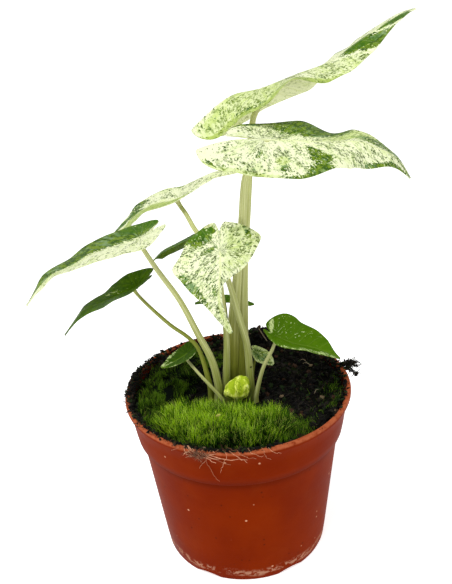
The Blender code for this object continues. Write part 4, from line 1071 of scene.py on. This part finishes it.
# Loose soil.
# Crumbs of peat and bits of bark lie on the soil, have spilled over the rim, most of them at the left,
# and hang together in a dark clump on the right of it.
def crumb_shape(k):
    """Points and faces of a small lump of uneven shape; the first four are divided finer."""
    obj = fresh("crumb", bpy.ops.mesh.primitive_ico_sphere_add, subdivisions=2 if k < 4 else 1, radius=1.0)
    for v in obj.data.vertices:
        lump = 1 + 0.75 * noise.noise(v.co * 1.5 + Vector((k * 3.1, 0.0, 0.0)))
        v.co = (v.co.x * lump * (1.0 + 0.08 * k), v.co.y * lump, v.co.z * lump * 0.75)
    return taken(obj)


crumb_shapes = [crumb_shape(k) for k in range(10)]


def linked(mesh):
    """Object of a mesh, under the same name."""
    obj = bpy.data.objects.new(mesh.name, mesh)
    scene.collection.objects.link(obj)
    return obj


def heap_of(name, places, seed, material):
    """One mesh of many crumbs. Each place is a point and a size."""
    rng = np.random.default_rng(seed)
    points, faces, info, base = [], [], [], 0
    for place, size in places:
        shape, shape_faces = crumb_shapes[rng.integers(0, 4) if size > 0.0007 else rng.integers(4, 10)]
        turn = Matrix.Rotation(rng.uniform(0, 6.28), 3, "Z") @ Matrix.Rotation(rng.uniform(0, 6.28), 3, "X")
        points.append(shape @ np.array(turn).T * size + np.array(place))
        info.append(np.tile((rng.uniform(), rng.uniform(), 0.0), (len(shape), 1)))
        faces += [[i + base for i in face] for face in shape_faces]
        base += len(shape)
    return linked(meshed(name, np.concatenate(points).tolist(), faces, "crumb", np.concatenate(info),
                         material))


def peat_crumbs():
    """Black crumbs; a few are brown bark, green with moss, or pale."""
    p = Paint("peat_crumbs", Specular_IOR_Level=0.12)
    tone, kind, _ = p.split(p.mark("crumb"))
    fine = p.cloud(p.place(), 2600.0, 3.0, 0.6)
    colour = p.coats(
        (0.001, 0.0009, 0.0007),
        ((0.014, 0.011, 0.0075), p.rise(tone, 0.45, 0.98)),
        ((0.06, 0.026, 0.013), p.rise(kind, 0.92, 0.93) * 0.7),
        ((0.016, 0.036, 0.006), (1.0 - p.rise(kind, 0.16, 0.18)) * 0.7),
        ((0.22, 0.16, 0.09), p.rise(kind, 0.994, 0.995) * 0.8),
        ((0.06, 0.052, 0.04), p.rise(fine, 0.62, 0.72) * 0.45))
    return p.finish(colour, p.rise(fine, 0.3, 0.7, 0.45, 0.85), fine, 0.0003)


def jitter(*spreads):
    """Random vector; each spread is the mean and the deviation of one coordinate."""
    return Vector([rng.gauss(mean, spread) for mean, spread in spreads])


black_crumb = peat_crumbs()
rng = random.Random(11)
places = []
while len(places) < 3600:
    x, y = polar(0.0412 * sqrt(rng.random()), rng.uniform(0, 2 * pi))
    near_crown = hypot(x - CROWN[0], y - CROWN[1]) < 0.0118
    thin = rng.random() < (0.25 if x + y < -0.006 else 1.0)
    if not near_crown and thin:
        size = 0.00022 + 0.001 * rng.random() ** 5
        places.append(((x, y, ground(x, y) + size * rng.uniform(-0.1, 0.55)), size))
for k in range(260):
    turn, r = rng.uniform(0, 2 * pi), rng.uniform(0.0085, 0.0125)
    x, y = polar(r, turn)
    size = 0.00025 + 0.0006 * rng.random() ** 3
    places.append(((CROWN[0] + x, CROWN[1] + y, SOIL_TOP + size * 0.5), size))
dressed(heap_of("soil_crumbs", places, 2, black_crumb), "soil")

# Spilled on the rim, in stretches: the middle and width in degrees, how many, and how far out in
# millimetres.
places = []
for middle, spread, count, reach in (
        (172, 26, 620, 42.4), (205, 20, 420, 42.4), (140, 18, 300, 42.4), (262, 30, 520, 42.4),
        (24, 24, 420, 42.4), (100, 30, 420, 42.4), (60, 40, 420, 42.4), (-15, 30, 200, 42.4),
        (249, 7, 150, 43.4), (267, 14, 260, 43.2), (228, 24, 90, 43.6), (163, 24, 420, 43.8)):
    for k in range(count):
        turn = radians(rng.gauss(middle, spread / 2))
        r = min(0.0446, rng.gauss(reach * 0.001, 0.0008))
        size = 0.00014 + 0.0005 * rng.random() ** 4
        top = RIM_TOP if r > 0.043 else RIM_TOP - 0.0004 - 2.2 * max(0.0, 0.043 - r) * rng.random()
        places.append(((*polar(r, turn), top + size * rng.uniform(0.0, 1.3)), size))
dressed(heap_of("rim_crumbs", places, 6, black_crumb), "soil")

# Clump of bark and roots on the right of the rim, along four twigs.
places = []
twigs = [[Vector(p) * 0.001 for p in path] for path in (
    ((42.6, 10.6, 71.0), (44.4, 9.8, 72.0), (46.6, 9.2, 72.2), (48.0, 8.6, 71.6), (49.3, 8.2, 71.2)),
    ((44.6, 9.8, 71.8), (46.0, 9.0, 73.0), (47.0, 8.8, 74.2)),
    ((46.2, 9.2, 72.2), (47.8, 8.6, 73.2), (48.8, 8.4, 73.4)),
    ((43.6, 9.6, 71.2), (45.2, 8.0, 70.6), (46.8, 7.2, 70.2), (48.2, 6.8, 69.2), (49.0, 6.6, 68.6)))]
for k in range(420):
    twig = twigs[k % 4]
    t = rng.random() ** 1.3
    size = (0.00018 + 0.00055 * rng.random() ** 3) * (1 - 0.35 * t)
    spread = (0, 0.00065 * (1 - 0.6 * t))
    places.append((through(twig, t * (len(twig) - 1)) + jitter(spread, spread, spread), size))
dressed(heap_of("bark_clump", places, 9, black_crumb), "soil")

# Roots and fibres.
# Fine pale roots that have grown over the front of the rim and hang down the collar, dark fibres in
# the soil and the clump, and one dead straw that leans on the heap.
def strands(name, paths, material):
    """Thin round strands as one object; each path is its points and its radius."""
    points, faces, info = [], [], []
    for path, radius in paths:
        tone = noise.noise(path[0] * 3000) * 0.5 + 0.5
        first, last = len(points), len(path) - 1
        for k, place in enumerate(path):
            along = (path[min(k + 1, last)] - path[max(k - 1, 0)]).normalized()
            side = along.cross(Vector((0.31, 0.22, 0.93))).normalized()
            other = along.cross(side)
            taper = radius * (0.45 + 0.55 * sin(pi * (0.12 + 0.76 * k / last)))
            for j in range(5):
                turn = 2 * pi * j / 5
                points.append(place + (side * cos(turn) + other * sin(turn)) * taper)
                info.append((tone, 0.0, 0.0))
        for k in range(last):
            for j in range(5):
                a, b = first + 5 * k + j, first + 5 * k + (j + 1) % 5
                faces.append((a, b, b + 5, a + 5))
        faces.append([first + j for j in reversed(range(5))])
        faces.append([len(points) - 5 + j for j in range(5)])
    mesh = meshed(name, points, faces, "fibre", info, material)
    bm = bmesh.new()
    bm.from_mesh(mesh)
    bmesh.ops.recalc_face_normals(bm, faces=bm.faces)
    bm.to_mesh(mesh)
    bm.free()
    obj = linked(mesh)
    smooth_shade(obj, 80)
    return obj


def root_paint(name, pale, dark):
    """Dull skin of roots, fibres or straw, some strands darker than others."""
    p = Paint(name, Specular_IOR_Level=0.25)
    tone = p.split(p.mark("fibre"))[0]
    bark = p.cloud(p.place(), 1500.0, 2.0)
    return p.finish(p.mix(pale, dark, p.rise(tone + (bark - 0.5) * 0.7, 0.3, 0.8)),
                    p.rise(bark, 0.3, 0.7, 0.5, 0.8))


def collar_radius(z):
    """Outside radius of the pot's collar and wall at a height."""
    if z > 0.0685:
        return RIM
    if z > LEDGE_TOP:
        return LEDGE + (z - LEDGE_TOP) / (0.0678 - LEDGE_TOP) * (RIM - 0.0014 - LEDGE)
    return BASE + (z - 0.001) * 0.1265


def hanging(turn, drop, drift, wander, seed):
    """Root from the moss over the rim and down the collar; angles in degrees, lengths in millimetres."""
    own = random.Random(seed)
    over = [(0.0418, 0.0696), (0.0432, 0.0712), (0.0446, 0.07135), (0.04525, 0.0708)]
    slant = own.uniform(-6, 3)
    points = [(turn + slant * share, r, z) for share, (r, z) in zip((1.0, 0.7, 0.25, -0.05), over)]
    z, angle, lift = 0.0708, turn + 0.2, 0.0003
    while z > 0.0708 - drop * 0.001:
        z -= 0.0007
        angle += drift * 0.7 / drop + own.gauss(0, wander)
        lift = min(0.0012, max(0.00015, lift + own.gauss(0, 0.00018)))
        points.append((angle, max(collar_radius(z), 0.0437 if z > 0.066 else 0.0) + lift, z))
    return [Vector((*polar(r, radians(angle)), z)) for angle, r, z in points]


# Each root over the rim: where it is, how far it hangs and drifts, how much it wanders, and its radius.
pale_root = root_paint("pale_root", (0.74, 0.38, 0.22), (0.3, 0.09, 0.035))
over_rim = []
for turn, drop, drift, wander, radius in (
        (247, 4.5, 9, 0.5, 0.16), (249, 5.5, 14, 0.5, 0.17), (246, 3.5, -4, 0.6, 0.13),
        (250, 4.0, -7, 0.5, 0.14), (252, 13.5, 3, 0.35, 0.11), (255, 8.5, -5, 0.4, 0.09),
        (263, 9.0, -5, 0.3, 0.07), (266, 4.0, 6, 0.5, 0.12), (269, 3.5, 8, 0.5, 0.12),
        (280, 4.5, 1, 0.4, 0.1), (283, 3.0, 7, 0.5, 0.08), (243, 3.0, 2, 0.5, 0.11),
        (258, 3.0, -12, 0.7, 0.12), (245, 5.0, 5, 0.6, 0.08), (251, 3.0, 16, 0.5, 0.15),
        (240, 2.2, -3, 0.6, 0.09), (274, 2.4, 5, 0.5, 0.09), (248, 2.5, 12, 0.8, 0.13)):
    over_rim.append((hanging(turn, drop, drift, wander, len(over_rim) + 1), radius * 0.001))
dressed(strands("rim_roots", over_rim, pale_root), "soil")

# Brown mat of finer roots on the outside of the lip, and a few at its inner edge.
brown_root = root_paint("brown_root", (0.17, 0.07, 0.03), (0.04, 0.014, 0.007))
rng = random.Random(21)
mat = []
for k in range(90):
    inner = k >= 60
    turn = radians(rng.gauss(267, 3.0) if inner else rng.gauss(249, 2.6))
    r, z = (0.0438, 0.0713) if inner else (0.0456, 0.0698 + rng.gauss(0, 0.0007))
    place, step = Vector((*polar(r, turn), z)), Vector((rng.gauss(0, 1), 0.0, rng.gauss(0, 0.6)))
    points = [place]
    for j in range(7):
        step = (step + Vector((rng.gauss(0, 0.5), 0.0, rng.gauss(0, 0.5)))).normalized()
        place = place + step * 0.00042
        away = hypot(place.x, place.y)
        place.x, place.y = place.x * r / away, place.y * r / away - rng.uniform(0, 0.0002)
        if inner:
            place.z = max(place.z, 0.0713)
        points.append(place)
    mat.append((points, rng.uniform(0.00005, 0.0001)))
dressed(strands("root_mat", mat, brown_root), "soil")


def lying(x, y, reach, lift, bend):
    """Fibre that lies on the soil in a loose arc and rises a little in the middle."""
    turn = rng.uniform(0, 2 * pi)
    points = []
    for k in range(9):
        rise = lift * sin(pi * k / 8) * rng.uniform(0.7, 1.1)
        points.append(Vector((x, y, ground(x, y) + 0.0002 + rise)))
        turn += rng.gauss(bend, 0.25)
        x, y = x + cos(turn) * reach / 8, y + sin(turn) * reach / 8
        if hypot(x, y) > 0.0408:
            x, y = x * 0.97, y * 0.97
    return points


def straying(start, step, sways, stride):
    """Short fibre that starts in the direction of a step and strays from it."""
    points = [start]
    for _ in range(6):
        step += jitter(*sways)
        points.append(points[-1] + step.normalized() * stride)
    return points


dark_fibre = root_paint("dark_fibre", (0.034, 0.026, 0.018), (0.004, 0.003, 0.002))
threads = []
while len(threads) < 150:
    x, y = polar(0.04 * sqrt(rng.random()), rng.uniform(0, 2 * pi))
    if x + y > -0.012 and hypot(x - CROWN[0], y - CROWN[1]) > 0.012:
        path = lying(x, y, rng.uniform(0.003, 0.01), rng.uniform(0.0, 0.0016), rng.uniform(-0.3, 0.3))
        threads.append((path, rng.uniform(0.00005, 0.00012)))
for k in range(70):
    twig = twigs[k % 4]
    start = through(twig, rng.random() * (len(twig) - 1))
    path = straying(start, jitter((0.5, 0.7), (0, 0.7), (0.35, 0.5)),
                    ((0, 0.35), (0, 0.35), (-0.08, 0.3)), 0.00045)
    threads.append((path, rng.uniform(0.00008, 0.00018)))
for k in range(80):
    turn = radians(rng.gauss(188, 17))
    start = Vector((*polar(rng.gauss(0.0437, 0.0006), turn), RIM_TOP + 0.0002))
    path = straying(start, jitter((-0.2, 0.6), (0, 0.7), (0.4, 0.5)),
                    ((0, 0.3), (0, 0.3), (-0.1, 0.2)), 0.0004)
    threads.append((path, rng.uniform(0.00006, 0.00014)))
dressed(strands("soil_fibres", threads, dark_fibre), "soil")

# The straw that leans on the heap is the first; three short ones lie near the right of the rim.
dry_straw = root_paint("dry_straw", (0.3, 0.24, 0.15), (0.12, 0.085, 0.05))
leaning = [Vector(p) * 0.001 for p in ((10.6, 31.0, 79.6), (11.6, 30.4, 77.8), (12.8, 29.9, 75.6),
                                       (14.2, 29.4, 73.2), (15.6, 29.0, 70.4), (16.2, 28.8, 68.2))]
straws = [([through(leaning, k / 4) for k in range(21)], 0.00028)]
for x, y, z, turn, reach in ((31.1, 14.5, 69.0, 2.5, 4.0), (27.0, 19.0, 69.4, -0.6, 3.0),
                             (30.0, -6.0, 68.6, 0.9, 3.2)):
    path = [Vector((x + reach * f * cos(turn), y + reach * f * sin(turn), z + 0.9 * sin(pi * f))) * 0.001
            for f in (0, 0.2, 0.4, 0.6, 0.8, 1)]
    straws.append((path, 0.00016))
dressed(strands("dead_straw", straws, dry_straw), "soil")

# Seed.
# One pale tan seed that lies in the moss tuft, pointed at both ends.
seed = fresh("seed", bpy.ops.mesh.primitive_uv_sphere_add, segments=24, ring_count=16, radius=1.0)
for v in seed.data.vertices:
    x, y, z = v.co
    plump = (1 - abs(x) ** 2.5) ** 0.25 if abs(x) < 1 else 0.0
    plump *= 1 + 0.12 * noise.noise(v.co * 3)
    v.co = Vector((-0.008 + x * 0.00105, -0.0233 + y * plump * 0.00062 + x * 0.0003,
                   0.0729 + z * plump * 0.00052 + 0.0002 * x))
smooth_shade(seed, 80)
husk = Paint("seed_husk", Specular_IOR_Level=0.3)
lines = husk.cloud(husk.place((1.0, 3.0, 3.0)), 900.0, 2.0)
seed.data.materials.append(husk.finish(
    husk.mix((0.42, 0.33, 0.07), (0.64, 0.56, 0.2), husk.rise(lines, 0.35, 0.65)),
    husk.rise(lines, 0.3, 0.7, 0.4, 0.6), lines, 0.0002))
dressed(seed, "moss_tuft")
